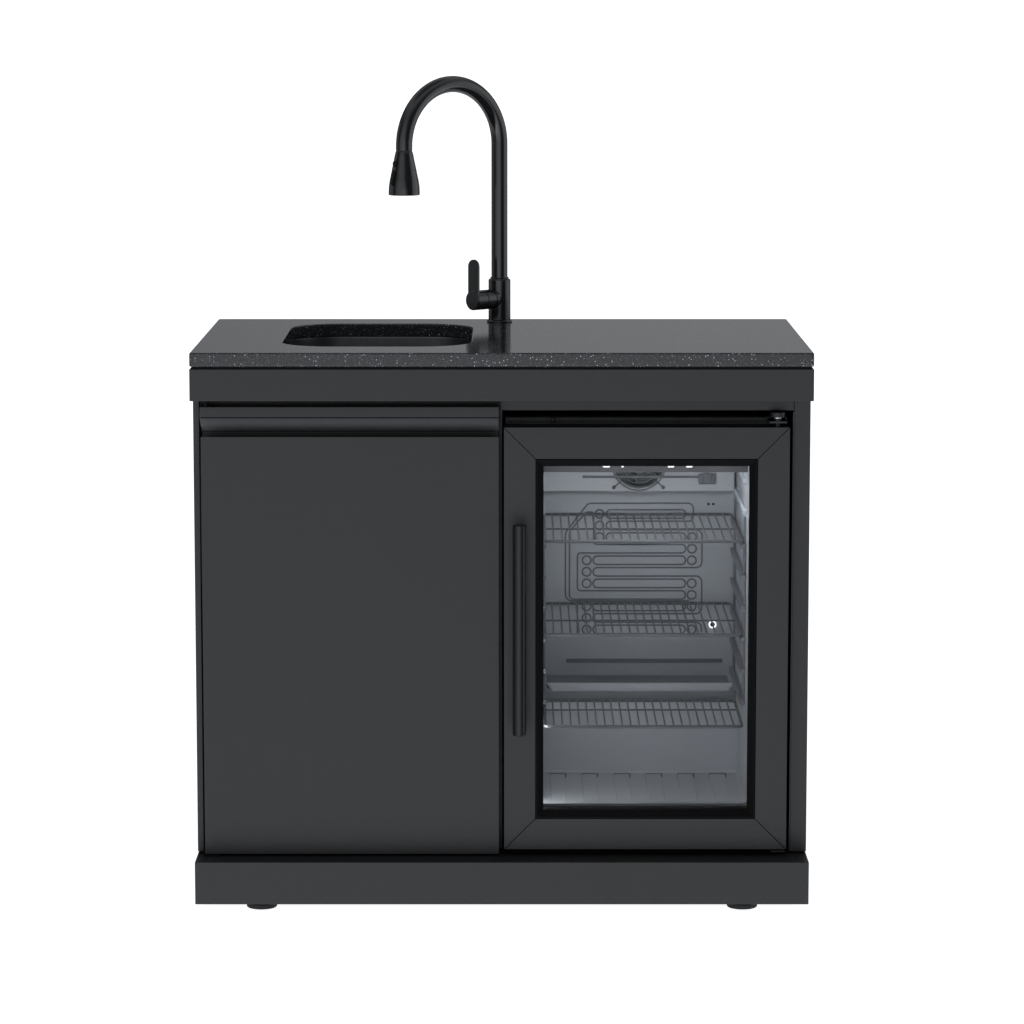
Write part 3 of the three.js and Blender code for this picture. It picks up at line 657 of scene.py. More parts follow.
def sink():
    low, high = FLANGE
    gauge = 0.002
    floor = low.z + gauge
    under = floor - gauge
    top = high.z
    fillet, steps = 0.014, 8

    def bend(grow, corner, base):
        loops = []
        for k in range(steps + 1):
            t = pi / 2 * k / steps
            shrink = fillet * (1 - cos(t))
            loops.append(bowl_loop(grow - shrink, corner - shrink, base + fillet * (1 - sin(t))))
        return loops

    # the lip as (grow, corner, drop below the rim), then the bottom as (height, share, crease)
    lip = ((0.022, 0.105, 0.0024), (0.022, 0.105, 0.0003), (0.0217, 0.105, 0.0), (0.0040, 0.088, 0.0),
           (0.0026, 0.086, 0.0005), (0.002, 0.085, 0.002))
    bottom = ((floor, 0.8, 0.0), (floor, 0.72, 0.0008), (floor, 0.5, 0.0008), (floor, 0.25, 0.0006),
              (floor, 0.1, 0.0), (floor, 0.0, 0.0), (under, 0.0, 0.0), (under, 0.25, 0.0006),
              (under, 0.8, 0.0006))
    loops = [bowl_loop(grow, corner, top - drop) for grow, corner, drop in lip]
    loops += bend(0.002, 0.085, floor)
    loops += [bowl_loop(-0.012, 0.071, z, share, crease) for z, share, crease in bottom]
    loops += reversed(bend(0.004, 0.087, under))
    loops += [bowl_loop(0.004, 0.087, top - 0.004), bowl_loop(0.0056, 0.088, top - 0.0024)]
    piece("sink_bowl_pressed", loft(loops, ring=True), SINK_STEEL, "sink_bowl")

    rim = (SINK.x, SINK.y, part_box("sink_drain")[1].z)
    cup = [(0.040, -0.002), (0.040, -0.046), (0.037, -0.053, 0.006), (0.019, -0.058, 0.004),
           (0.019, -0.114), (0.021, -0.114), (0.021, -0.060, 0.003), (0.040, -0.0555, 0.008),
           (0.042, -0.048), (0.042, -0.0021), (0.0545, -0.0021), (0.056, -0.0016),
           (0.0555, -0.0006, 0.0005), (0.050, 0, 0.003), (0.0425, -0.0005)]
    nut = [(0.0212, -0.112), (0.0245, -0.112), (0.0245, -0.099), (0.0212, -0.099)]
    drain = joined([turned(cup, rim, closed=True), turned(nut, rim, closed=True, sides=10)])
    piece("sink_drain_cup", drain, STEEL, "sink_drain")

    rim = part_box("strainer_basket")[1].z
    shell = [(0, -0.039), (0.030, -0.039, 0.002), (0.034, -0.0375, 0.002), (0.0386, -0.003, 0.001),
             (0.0405, -0.0014), (0.0400, 0), (0.0375, 0, 0.0006), (0.0330, -0.0364, 0.002),
             (0.0300, -0.0376, 0.001), (0.005, -0.0376), (0.0048, -0.012, 0.002), (0.008, -0.008, 0.002),
             (0.0085, -0.005, 0.0015), (0.006, -0.003, 0.001), (0, -0.003)]
    holes = [turned(cylinder(0.0018, -0.003, 0.003), (x, y, rim - 0.0385), sides=12)
             for radius, count in ((0.011, 8), (0.018, 12), (0.026, 18))
             for x, y in circle_loop(SINK.x, SINK.y, radius, count)]
    basket = carved(turned(shell, (SINK.x, SINK.y, rim)), [joined(holes)])
    piece("strainer_basket_pressed", basket, STEEL, "strainer_basket", "strainer")


def plumbing():
    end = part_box("drain_trap")[1]
    x, y = SINK.x, SINK.y
    outlet_z = 0.610
    bends = [(0.0, 0.568), (0.012, 0.542), (0.040, 0.528), (0.068, 0.542), (0.080, 0.568),
             (0.084, 0.590), (0.104, 0.606), (0.140, outlet_z), (0.200, outlet_z)]
    control = [Vector((x, y, 0.600))] + [Vector((x, y + along, z)) for along, z in bends]
    control.append(Vector((x, end.y, outlet_z)))
    path = [Vector((x, y, end.z)), Vector((x, y, 0.585))]
    for i in range(1, len(control) - 2):
        path += [spline(control[i - 1:i + 3], k / 6) for k in range(6)]
    path.append(control[-1])
    bore = turned(cylinder(0.0155, 0, 0.080), (x, end.y - 0.060, outlet_z), BACKWARDS)
    nut = [(0.019, 0), (0.0198, 0.0005), (0.0199, 0.014), (0.019, 0.0145)]
    trap = [carved(tube(path, 0.0188, 28), [bore]), turned(nut, (x, y, 0.588), sides=12),
            turned(nut, (x, y + 0.150, outlet_z), BACKWARDS, sides=12)]
    piece("drain_trap_pipe", joined(trap), PIPE, "drain_trap")

    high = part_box("inlet_valve")[1]
    at = joint_at("inlet_valve_turn")
    long = high.y - at.y - 0.004
    body = [(0, 0), (0.0075, 0, 0.001), (0.0095, 0.003, 0.001), (0.0095, 0.030), (0.0075, 0.034),
            (0.0075, long), (0, long)]
    rosette = [(0, 0), (0.010, 0, 0.004), (0.0215, 0.0028, 0.001), (0.022, 0.004), (0, 0.004)]
    outlet = [(0, 0), (0.0078, 0), (0.0078, 0.018), (0.0068, 0.019), (0.0068, 0.021), (0.0078, 0.022),
              (0.0078, 0.0245), (0.0068, 0.0255), (0.0078, 0.0265), (0.0068, 0.0285), (0.0078, 0.0295),
              (0.0070, high.z - at.z), (0, high.z - at.z)]
    valve = [turned(body, (at.x, at.y + 0.0005, at.z), BACKWARDS),
             turned(rosette, (at.x, high.y - 0.004, at.z), BACKWARDS), turned(outlet, (at.x, 0.262, at.z))]
    piece("inlet_valve_body", joined(valve), BRASS, "inlet_valve")

    low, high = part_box("inlet_valve_lever")
    outline = rounded_loop(low.x, at.x + 0.0075, at.z - 0.0055, at.z + 0.0055, 0.0054, 8)
    arm = rounded(cut_sheet([outline], low.y, low.y + 0.003), 0.0008)
    thick = high.y - low.y
    boss = turned([(0, 0), (0.0078, 0, 0.001), (0.008, thick), (0, thick)], (at.x, low.y, at.z), BACKWARDS)
    piece("inlet_valve_handle", joined([arm, boss]), VALVE_RED, "inlet_valve_lever",
          "valve_lever")


# ---- carcass ---------------------------------------------------------------
# rounding of each sheet metal part's edges
SHEET_EDGES = {
    "worktop_subframe": 0.0006, "apron_front": 0.0011, "apron_return": 0.0011,
    "side_panel_left": 0.0009, "side_panel_right": 0.0009, "top_rail": 0.0008,
    "centre_partition": 0.0009, "base_tray": 0.0007, "back_panel": 0.0007,
    "plinth_front": 0.0011, "plinth_return": 0.0011}
# sheets seen only in the shadow joint and the shadow gap, coloured near black as painted shade
SHADOW_GAP_SHEETS = ("worktop_subframe", "base_tray")
STILE_WIDE = 0.0266
PULL_LIP_Z = 0.8118


def ends_and_middle(low, high, inset):
    return low + inset, (low + high) / 2, high - inset


def carcass():
    for node, edge in SHEET_EDGES.items():
        material, slot = (SHADOW, "shadow_black") if node in SHADOW_GAP_SHEETS else (PANEL, "panel_anthracite")
        cad_piece(node, node + "_sheet", edge, material)

    low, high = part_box("back_panel")
    heads = [cap_screw((x, high.y, z), BACKWARDS) for x in ends_and_middle(low.x, high.x, 0.016)
             for z in ends_and_middle(low.z, high.z, 0.02)]
    low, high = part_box("side_panel_right")
    for z in ends_and_middle(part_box("side_panel_left")[0].z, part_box("side_panel_left")[1].z, 0.03):
        heads.append(cap_screw((low.x + 0.0085, low.y + 0.12, z), (-1, 0, 0)))
    piece("panel_screws", joined(heads), MACHINE)

    edge = high.x - STILE_WIDE
    trim = soft_block((edge - 0.0019, low.y + 0.0004, low.z + 0.001),
                      (edge + 0.0004, low.y + 0.016, high.z - 0.024), 0.0003)
    piece("stile_edge_trim", trim, PANEL)

    spot = centre("mains_gland")
    gland = [(0, 0), (0.011, 0), (0.011, 0.0022, 0.0006), (0.0088, 0.0030, 0.0006),
             (0.0085, 0.0044, 0.0008), (0.0040, 0.0046, 0.0004), (0.0038, 0.001), (0, 0.001)]
    bush = turned(gland, (spot.x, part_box("mains_gland")[0].y, spot.z), BACKWARDS)
    piece("mains_gland_bush", bush, RUBBER, "mains_gland")

    for node in ("foot_front_left", "foot_front_right", "foot_back_left", "foot_back_right"):
        low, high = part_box(node)
        spot = centre(node)
        tall = high.z - low.z
        foot = [(0, 0), (0.0235, 0, 0.001), (0.025, 0.0015), (0.025, 0.0075, 0.001),
                (0.023, 0.0085, 0.0008), (0.0165, 0.0155, 0.003), (0.010, 0.0172), (0.010, 0.018)]
        foot += thread(0.018, tall - 0.0016, 0.0070, 0.0080, 0.0006, 0.0013)[0]
        foot += [(0.0070, tall), (0, tall)]
        piece(node + "_pad", turned(foot, (spot.x, spot.y, low.z)), RUBBER, node, angle=25)


def cupboard_door():
    cad_piece("cupboard_door_panel", "cupboard_door_leaf", 0.0012, PANEL,
              "cupboard_door")
    cad_piece("cupboard_door_pull", "cupboard_door_grip", 0.0011, PULL_COAT_PAINTED_LIGHT,
              "cupboard_door")
    low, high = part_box("cupboard_door_pull")
    # a thin black strip along the lip of the pull: a painted shadow line
    trim = soft_block((low.x + 0.001, low.y - 0.0004, PULL_LIP_Z - 0.0014),
                      (high.x, low.y + 0.0012, PULL_LIP_Z + 0.0002), 0.0003)
    piece("pull_painted_shadow_line", trim, BEAD, body="cupboard_door")
    # the pivots in near black: painted shade that hides them in the door gap
    for node in ("door_pivot_lower", "door_pivot_upper"):
        cad_piece(node, node + "_steel", 0.0004, SHADOW)


# ---- mixer tap -------------------------------------------------------------
def at_tap(way, reach, z):
    return Vector((TAP.x + way.x * reach, TAP.y + way.y * reach, z))


def tap():
    base = TAP_FOOT_Z + 0.0003
    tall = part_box("tap_body")[1].z - base
    shaft = TAP_FOOT_Z - SHAFT_LONG - base
    ridges, plain = thread(shaft, -0.026, 0.0142, 0.0150, 0.0007, 0.0015)
    profile = [(0, shaft)] + ridges
    profile += [(0.0150, plain), (0.0150, 0), (0.0215, 0), (0.022, 0.0006), (0.022, 0.0024, 0.0006),
                (0.0205, 0.0036, 0.001), (0.0190, 0.0040), (0.0192, 0.0052),
                (0.0192, tall - 0.0012, 0.0008), (0.0182, tall, 0.0008), (0.0146, tall),
                (0.0144, tall - 0.001), (0, tall - 0.001)]
    body = turned(profile, (TAP.x, TAP.y, base), sides=96)
    collar = turned([(0, 0), (0.0168, 0), (0.0168, 0.0202, 0.0006), (0.0160, 0.0212), (0, 0.0212)],
                    (TAP.x, TAP.y, BALL.z), LEVER_WAY, sides=96)
    body = carved(body, [collar], union=True)
    body = carved(body, [turned(sphere(BALL_ROOM), BALL, LEVER_WAY, sides=64)])
    piece("tap_column", body, TAP_BLACK, "tap_body")

    low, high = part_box("tap_nut")
    hexagon = circle_loop(TAP.x, TAP.y, 0.0265, 6, 0.5)
    nut = cut_sheet([hexagon, circle_loop(TAP.x, TAP.y, 0.0154, 48)], low.z, high.z, flat)
    piece("tap_back_nut", rounded(nut, 0.0012, 2), BRASS, "tap_nut")

    low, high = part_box("tap_spout")
    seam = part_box("spray_head")[1].z
    reach = hypot(HEAD.x - TAP.x, HEAD.y - TAP.y) / 2
    spring = high.z - TUBE_RADIUS - reach
    steps = 48
    path = [at_tap(SPOUT_WAY, 0, low.z), at_tap(SPOUT_WAY, 0, spring)]
    for k in range(1, steps + 1):
        a = pi * (1 - k / steps)
        path.append(at_tap(SPOUT_WAY, reach * (1 + cos(a)), spring + reach * sin(a)))
    path += [at_tap(SPOUT_WAY, 2 * reach, seam + 0.0009), at_tap(SPOUT_WAY, 2 * reach, seam + 0.0003)]
    widths = [TUBE_RADIUS] * (len(path) - 1) + [TUBE_RADIUS - 0.0006]
    mouth = turned(cylinder(0.008, -0.010, 0.016), at_tap(SPOUT_WAY, 2 * reach, seam), sides=48)
    pipe = carved(tube(path, widths, 56), [mouth])
    swivel = turned([(0.0139, 0.0004), (0.0158, 0.0004), (0.0162, 0.0010), (0.0162, 0.0022, 0.0004),
                     (0.0156, 0.0030, 0.0004), (0.0139, 0.0030)], path[0], closed=True)
    piece("tap_arch", joined([pipe, swivel]), TAP_BLACK, "tap_spout", "spout")


def stadium(half_long, half_wide, steps=10):
    loop = []
    for sign, start in ((1, 0), (-1, pi)):
        for k in range(steps + 1):
            a = start + pi * k / steps
            loop.append((half_wide * cos(a), sign * (half_long - half_wide) + half_wide * sin(a)))
    return loop


def studded(loops, origin):
    """Loft over (distance, loop) levels that stand out of the spray head; a loop is (sideways, up)."""
    side = Vector((-SPOUT_WAY.y, SPOUT_WAY.x, 0))
    up = Vector(UPWARDS)
    return loft([[origin + SPOUT_WAY * w + side * u + up * v for u, v in loop] for w, loop in loops])


HEAD_LINE = ((0.0, 0.0267), (0.009, 0.0265), (0.015, 0.0261), (0.025, 0.0247), (0.036, 0.0223),
             (0.047, 0.0202), (0.0575, 0.0179), (0.068, 0.0159), (0.0725, 0.0147), (0.075, 0.0141))


def head_radius(z):
    """Outer radius of the spray head at height z above its lower rim."""
    for (z0, r0), (z1, r1) in zip(HEAD_LINE, HEAD_LINE[1:]):
        if z <= z1:
            return r0 + (r1 - r0) * (z - z0) / (z1 - z0)
    return HEAD_LINE[-1][1]


def spray():
    low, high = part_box("spray_head")
    bottom = low.z
    tall = high.z - bottom
    steps = 30
    levels = [k * tall / steps for k in range(1, steps)]
    profile = [(0, 0.0052), (0.0222, 0.0052), (0.0222, 0.0008), (0.0228, 0.0), (0.0258, 0.0),
               (0.0267, 0.0009)] + [(head_radius(z), z) for z in levels]
    profile += [(0.0141, 0.0742), (0.0135, tall), (0.008, tall), (0.008, tall - 0.006), (0, tall - 0.006)]
    round_at = Vector((HEAD.x, HEAD.y, centre("spray_button_round").z))
    long_at = Vector((HEAD.x, HEAD.y, centre("spray_button_long").z))
    round_hole, long_hole = circle_loop(0, 0, 0.0053, 40), stadium(0.0129, 0.0050)
    wells = [studded([(0.010, round_hole), (0.040, round_hole)], round_at),
             studded([(0.013, long_hole), (0.040, long_hole)], long_at)]
    shell = carved(turned(profile, (HEAD.x, HEAD.y, bottom), sides=96), wells)
    piece("spray_shell", shell, TAP_BLACK, "spray_head", "spray", angle=40)

    low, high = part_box("spray_face")
    thick = high.z - low.z
    parts = [turned([(0, 0), (0.0205, 0, 0.0006), (0.0216, 0.0010), (0.0216, thick), (0, thick)],
                    (HEAD.x, HEAD.y, low.z))]
    nozzle = [(0, 0), (0.0007, -0.0003), (0.0011, -0.00055), (0.0011, -0.0003), (0.0014, 0.0002),
              (0, 0.0003)]
    for radius, count in ((0.0045, 6), (0.0085, 12), (0.0125, 18), (0.0165, 24)):
        parts += [turned(nozzle, (x, y, low.z + 0.0003), sides=10)
                  for x, y in circle_loop(HEAD.x, HEAD.y, radius, count, 0.5)]
    piece("spray_nozzles", joined(parts), TAP_GREY, "spray_face", "spray")

    # the round button's domed front as (distance out, radius)
    dome = ((0.0120, 0.0048), (0.0203, 0.0049), (0.0213, 0.0046), (0.0219, 0.0039), (0.0222, 0.0030),
            (0.0223, 0.0012))
    button = studded([(out, circle_loop(0, 0, radius, 40)) for out, radius in dome], round_at)
    piece("spray_button_round_cap", button, BUTTON, "spray_button_round", "button_round")

    # the long button follows the flare of the head; each row is (lift off its skin, half sizes)
    side = Vector((-SPOUT_WAY.y, SPOUT_WAY.x, 0))
    seat = 0.0152
    rows = []
    for lift, half_long, half_wide in ((None, 0.0124, 0.0045), (0.0010, 0.0124, 0.0045),
                                       (0.0017, 0.0120, 0.0041), (0.0020, 0.0112, 0.0033),
                                       (0.0020, 0.0090, 0.0012)):
        loop = []
        for u, v in stadium(half_long, half_wide):
            skin = head_radius(long_at.z + v - bottom)
            away = seat if lift is None else (max(skin + lift, 0.015) ** 2 - u * u) ** 0.5
            loop.append(long_at + SPOUT_WAY * away + side * u + Vector(UPWARDS) * v)
        rows.append(loop)
    piece("spray_button_long_cap", loft(rows), BUTTON, "spray_button_long", "button_long")


def hose():
    low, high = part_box("spray_hose")
    count = 60
    path = [Vector((HEAD.x, HEAD.y, low.z + (high.z - low.z) * k / count)) for k in range(count + 1)]
    mesh = tube(path, [0.0052 + 0.0003 * (k % 2) for k in range(count + 1)], 28)
    obj = linked(mesh, "spray_hose_braid")
    mesh.materials.append(HOSE)
    shade(mesh, 50)
    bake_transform(obj)
    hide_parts("spray_hose")


def lever():
    bore = turned(cylinder(0.003, 0.012, 0.03), BALL, LEVER_WAY, sides=24)
    ball = carved(turned(sphere(BALL_RADIUS), BALL, LEVER_WAY, sides=64), [bore])
    piece("mixing_ball", ball, TAP_BLACK, "tap_ball", "mixer_ball")

    start, end = 0.026, 0.067
    axis_at = Vector((TAP.x, TAP.y, BALL.z))
    long = end - start
    seam = 0.0423 - start
    barrel = turned([(0, 0), (0.0163, 0, 0.0004), (0.0170, 0.0008), (0.0170, seam - 0.0008, 0.0002),
                     (0.0160, seam - 0.0006), (0.0160, seam + 0.0006), (0.0170, seam + 0.0008, 0.0002),
                     (0.0170, long - 0.0016, 0.0012), (0.0154, long, 0.0012), (0, long)],
                    axis_at + LEVER_WAY * start, LEVER_WAY, sides=96)
    across = Vector((-LEVER_WAY.y, LEVER_WAY.x, 0))
    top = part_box("tap_lever")[1].z
    half_wide, steps = 0.0125, 16
    # the paddle's outline at distances out along the barrel
    rows = []
    for reach, grow in ((0.0600, -0.0010), (0.0603, -0.0003), (0.0610, 0.0), (0.0640, 0.0),
                        (0.0647, -0.0003), (0.0650, -0.0010)):
        half = half_wide + grow
        bearings = [pi * k / steps for k in range(steps + 1)]
        loop = [(half * cos(a), top - half_wide - BALL.z + half * sin(a)) for a in bearings]
        loop += [(-half, 0.0), (-half * 0.8, -0.006), (half * 0.8, -0.006), (half, 0.0)]
        middle = axis_at + LEVER_WAY * reach
        rows.append([middle + across * u + Vector((0, 0, v)) for u, v in loop])
    handle = carved(barrel, [loft(rows)], union=True)
    handle = carved(handle, [turned(sphere(BALL_ROOM), BALL, LEVER_WAY, sides=64)])
    piece("lever_handle", handle, TAP_BLACK, "tap_lever", "lever")


# ---- refrigerator cabinet --------------------------------------------------
LINER_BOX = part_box("fridge_liner")
WALL = 0.003
CAVITY_X = (LINER_BOX[0].x + WALL, LINER_BOX[1].x - WALL)
CAVITY_Z = (LINER_BOX[0].z + WALL, LINER_BOX[1].z - WALL)
CAVITY_Y = (LINER_BOX[0].y, LINER_BOX[1].y - WALL)
STEP_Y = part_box("shelf_lower")[1].y + 0.008
STEP_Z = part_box("shelf_lower")[1].z + 0.0125
LINER_CORNER = 0.008
RIB_Z = (0.640, 0.692)
RIB_Y = (-0.150, 0.130)
LONG_SHELF = 0.26


def fridge_case():
    cad_piece("fridge_case", "fridge_case_sheet", 0.0005, CASE, segments=2)
    cad_piece("insulation_foam", "insulation_block", 0.0008, FOAM, segments=2)
    x0, x1 = CAVITY_X
    z0, z1 = CAVITY_Z
    front, back = CAVITY_Y
    # the side view, from the lower front edge; its last side is the open mouth
    section = [(front, z0), (STEP_Y, z0), (STEP_Y, STEP_Z), (back, STEP_Z), (back, z1), (front, z1)]
    bm = bmesh.new()
    left, right = [[bm.verts.new((x, y, z)) for y, z in section] for x in (x0, x1)]
    bm.faces.new(left)
    bm.faces.new(list(reversed(right)))
    for k in range(len(section) - 1):
        bm.faces.new((left[k], right[k], right[k + 1], left[k + 1]))
    edges = [e for e in bm.edges if not e.is_boundary]
    bmesh.ops.bevel(bm, geom=edges, offset=LINER_CORNER, segments=5, affect="EDGES", profile=0.5)
    bmesh.ops.recalc_face_normals(bm, faces=bm.faces)
    mesh = bpy.data.meshes.new("liner")
    bm.to_mesh(mesh)
    bm.free()
    obj = linked(mesh)
    shell = obj.modifiers.new("wall", "SOLIDIFY")
    shell.thickness = WALL
    shell.offset = 1
    piece("fridge_liner_moulding", evaluated(obj), LINER, "fridge_liner", angle=40)
    mouth = [rounded_loop(x0 - WALL, x1 + WALL, z0 - WALL, z1 + WALL, 0.0006, 3),
             rounded_loop(x0, x1, z0, z1, LINER_CORNER, 6)]
    piece("liner_mouth_trim", cut_sheet(mouth, front, front + 0.0012), LINER)


def liner_details():
    """Pads and ribs of the liner, with darker bands of painted shade behind the pads and along the step."""
    x0, x1 = CAVITY_X
    floor = CAVITY_Z[0]
    front = CAVITY_Y[0] + 0.020
    rear = STEP_Y - 0.038
    pads = []
    painted_shade_strips = []
    for k in range(6):
        left = x0 + 0.0167 + 0.0545 * k
        right = left + 0.0265
        pad = loft([quad(left, right, front, rear, floor - 0.001, floor - 0.001),
                    quad(left + 0.001, right - 0.001, front, rear - 0.002, floor + 0.0006, floor + 0.0065)])
        pads.append(rounded(pad, 0.0004, 2))
        # a darker band at the rear of each pad: painted shade
        painted_shade_strips.append(soft_block((left, rear - 0.001, floor + 0.0002),
                                 (right + 0.002, rear + 0.006, floor + 0.007), 0.0008))
    for wall, sign in ((x0, 1), (x1, -1)):
        near, far = sorted((wall - sign * 0.001, wall + sign * 0.006))
        pads += [soft_block((near, RIB_Y[0], z - 0.005), (far, RIB_Y[1], z + 0.005), 0.002, 3)
                 for z in RIB_Z]
    foot, crest = STEP_Z - 0.001, STEP_Z + 0.012
    lip = loft([quad(x0 + 0.022, x1 - 0.018, STEP_Y + 0.010, STEP_Y + 0.016, foot, foot),
                quad(x0 + 0.011, x1 - 0.007, STEP_Y + 0.010, STEP_Y + 0.016, crest, crest)])
    pads.append(rounded(lip, 0.001, 2))
    piece("liner_pads", joined(pads), LINER)
    # darker bands on the step top and on the step front: painted shade
    painted_shade_strips.append(soft_block((x0 + 0.012, STEP_Y + 0.024, STEP_Z + 0.0002),
                             (x1 - 0.012, CAVITY_Y[1] - 0.007, STEP_Z + 0.0014), 0.0004))
    painted_shade_strips.append(soft_block((x0 + 0.004, STEP_Y - 0.0012, STEP_Z - 0.018),
                             (x1 - 0.004, STEP_Y + 0.004, STEP_Z - 0.001), 0.0006))
    ledge = soft_block((x0 + 0.004, STEP_Y - 0.008, floor + 0.0010),
                       (x1 - 0.004, STEP_Y - 0.001, floor + 0.0050), 0.0010)
    piece("liner_rear_ledge", ledge, PIPE)
    piece("liner_painted_shade_strips", joined(painted_shade_strips), LEDGE_GREY_AND_SHADE)


def ladder(node, sign):
    """Uprights and ledges that carry the shelves on one wall; sign points away from the wall."""
    low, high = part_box(node)
    wall = low.x if sign > 0 else high.x
    upper, middle = [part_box(name)[0].z - 0.0015 for name in ("shelf_upper", "shelf_middle")]
    pitch = (upper - middle) / 3
    front = CAVITY_Y[0] + 0.070
    rear = CAVITY_Y[1] - 0.034
    parts = []

    def bar(depth, y0, y1, z0, z1, edge):
        x = sorted((wall, wall + sign * depth))
        parts.append(soft_block((x[0], y0, z0), (x[1], y1, z1), edge, 3))

    for y0 in (front, rear - 0.012):
        bar(0.004, y0, y0 + 0.012, low.z, high.z, 0.0012)
    for k in range(-2, 4):
        top = middle + pitch * k
        if low.z < top - 0.006 and top < high.z:
            bar(0.009, front - 0.010, rear + 0.012, top - 0.009, top, 0.002)
    # the uprights and ledges in the darker grey: painted shade
    piece(node + "_ladder", joined(parts), LEDGE_GREY_AND_SHADE, node)


def evaporator():
    """The embossed plate: every channel edge is a ridge in a darker grey that paints the channels' shade,
    laid out in mm from its lower left corner.
    """
    low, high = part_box("evaporator_plate")
    face = low.y + 0.0012
    ridge = 0.0014
    parts = []

    def spots(corners):
        return [(low.x + c[0] * MM, low.z + c[1] * MM, *[r * MM for r in c[2:]]) for c in corners]

    def line(points, closed=False):
        parts.append(tube([Vector((u, face, v)) for u, v in points], ridge, 8, closed))

    row = [80.1 + 20.35 * k for k in range(11)]
    half = 7.5
    turn = 7.45
    dot = 0.0075
    start, upper_start, end, outer = 91.8, 114.4, 252.6, 280.9
    for u, rows in ((80.5, (0, 1, 2, 4, 5, 6)), (102.7, (8, 9, 10)), (263.5, (0, 2, 3, 4, 6, 7, 8))):
        for k in rows:
            line(circle_loop(low.x + u * MM, low.z + row[k] * MM, dot, 28), True)
    for k in (0, 2, 4, 6, 8, 10):
        left = upper_start if k > 7 else start
        (x0, z0), (x1, z1) = spots([(left, row[k] - half), (end, row[k] + half)])
        line(rounded_loop(x0, x1, z0, z1, turn * MM, 8), True)
    routes = (
        ((259, row[3] - 10.65), (43.5, row[3] - 10.65, 12), (43.5, 250.8, 14), (82.6, 302.3, 12),
         (265.7, 302.3, 10), (265.7, row[9] + half, 8), (upper_start, row[9] + half, turn),
         (upper_start, row[9] - half, turn), (outer, row[9] - half, 10), (outer, row[5] + half, 10),
         (start, row[5] + half, turn), (start, row[5] - half, turn), (outer, row[5] - half, 10),
         (outer, row[1] + half, 10), (start, row[1] + half, turn), (start, row[1] - half, turn),
         (outer, row[1] - half, 10), (outer, 76)),
        ((72, row[2] + 11.5), (64.4, row[2] + 11.5, 6), (64.4, 74)),
        ((170, row[7] + half), (92.7, row[7] + half, 6), (92.7, 287, 5), (79.6, 287, 10),
         (50.5, 253, 12), (50.5, row[3] - half, 8), (end, row[3] - half, turn),
         (end, row[3] + half, turn), (64.4, row[3] + half, 6), (64.4, row[7] - half, 6),
         (end, row[7] - half, turn), (end, row[7] + half, turn), (170, row[7] + half)))
    for corners in routes:
        line(filleted(spots(corners), 8))
    slot_bar = soft_block((low.x + 0.045, face - 0.0022, low.z + 0.0215),
                          (low.x + 0.318, face + 0.001, low.z + 0.0285), 0.0008)
    piece("evaporator_slot_bar", slot_bar, DARK_GREY_AND_SHADE)
    heads = [cap_screw((low.x + reach, face, low.z + 0.301), FORWARDS, 0.0022, 0.0014)
             for reach in (0.2918, 0.300)]
    piece("evaporator_screws", joined(heads), BEAD)
    outline = rounded_loop(low.x, high.x, low.z, high.z, 0.006, 6)
    sheet = rounded(cut_sheet([outline], face, high.y), 0.0006, 2)
    piece("evaporator_sheet", sheet, PLATE, "evaporator_plate")
    piece("evaporator_channels", joined(parts), DARK_GREY_AND_SHADE, angle=50)


def evaporator_cover():
    """The cover over the evaporator's top with its fan guard, strip and sensor."""
    cad_piece("evaporator_cover", "evaporator_cover_moulding", 0.0012, COVER, angle=30)
    low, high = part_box("evaporator_cover")
    hub = joint_at("evaporator_fan_spin")
    front = low.y - 0.0065
    ring_wire, leg_wire = 0.0011, 0.0012
    guard = []
    for radius in (0.0105, 0.0165, 0.0225, 0.0285, 0.0345, 0.0405, 0.0465):
        ring = [Vector((x, front, z)) for x, z in circle_loop(hub.x, hub.z, radius, 56)]
        guard.append(tube(ring, ring_wire, 8, True))
    for k in range(4):
        a = pi / 4 + k * pi / 2
        start, bend, foot = [
            Vector((hub.x + reach * cos(a), y, hub.z + reach * sin(a)))
            for reach, y in ((0.010, front + leg_wire), (0.050, front + leg_wire), (0.060, low.y - leg_wire))]
        if foot.z < high.z - 0.004:
            guard.append(tube([start, bend, foot], leg_wire, 8))
            guard.append(cap_screw(foot + Vector((0, leg_wire, 0)), FORWARDS, 0.0034, 0.0022))
        else:
            guard.append(tube([start, bend], leg_wire, 8))
    guard.append(turned(cylinder(0.0125, 0, 0.0014), (hub.x, front - 0.0004, hub.z), BACKWARDS))
    piece("fan_guard", joined(guard), GUARD)
    strip = [soft_block((low.x + 0.070, low.y - 0.0105, high.z - 0.0737),
                        (low.x + 0.272, low.y - 0.0080, high.z - 0.0697), 0.0008)]
    strip += [soft_block((low.x + x, low.y - 0.009, high.z - 0.0732),
                         (low.x + x + 0.004, low.y + 0.001, high.z - 0.0702), 0.0006)
              for x in (0.071, 0.267)]
    piece("cover_dark_strip", joined(strip), DARK_GREY_AND_SHADE)
    edge = high.x - 0.033
    base = high.z - 0.085
    sensor = [soft_block((edge - 0.029, low.y - 0.009, base), (edge, low.y + 0.001, base + 0.018), 0.002, 3),
              soft_block((edge - 0.022, low.y - 0.013, base + 0.002),
                         (edge - 0.007, low.y - 0.004, base + 0.020), 0.002, 3)]
    piece("air_sensor", joined(sensor), LEDGE_GREY_AND_SHADE)


def drain_plug():
    low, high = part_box("evaporator_plate")
    spot = Vector((high.x - 0.0357, low.y + 0.0013, low.z + 0.089))
    ring = [(0.0043, 0), (0.0067, 0), (0.0067, 0.0016, 0.0006), (0.0043, 0.0016, 0.0006)]
    # the ring glows white by emission: painted light
    piece("drain_plug_ring", turned(ring, spot, FORWARDS, closed=True), MARK_PAINTED_GLOW)
    plug = [(0, 0), (0.0042, 0), (0.0042, 0.0012, 0.0004), (0, 0.0012)]
    piece("drain_plug", turned(plug, spot, FORWARDS), BEAD)


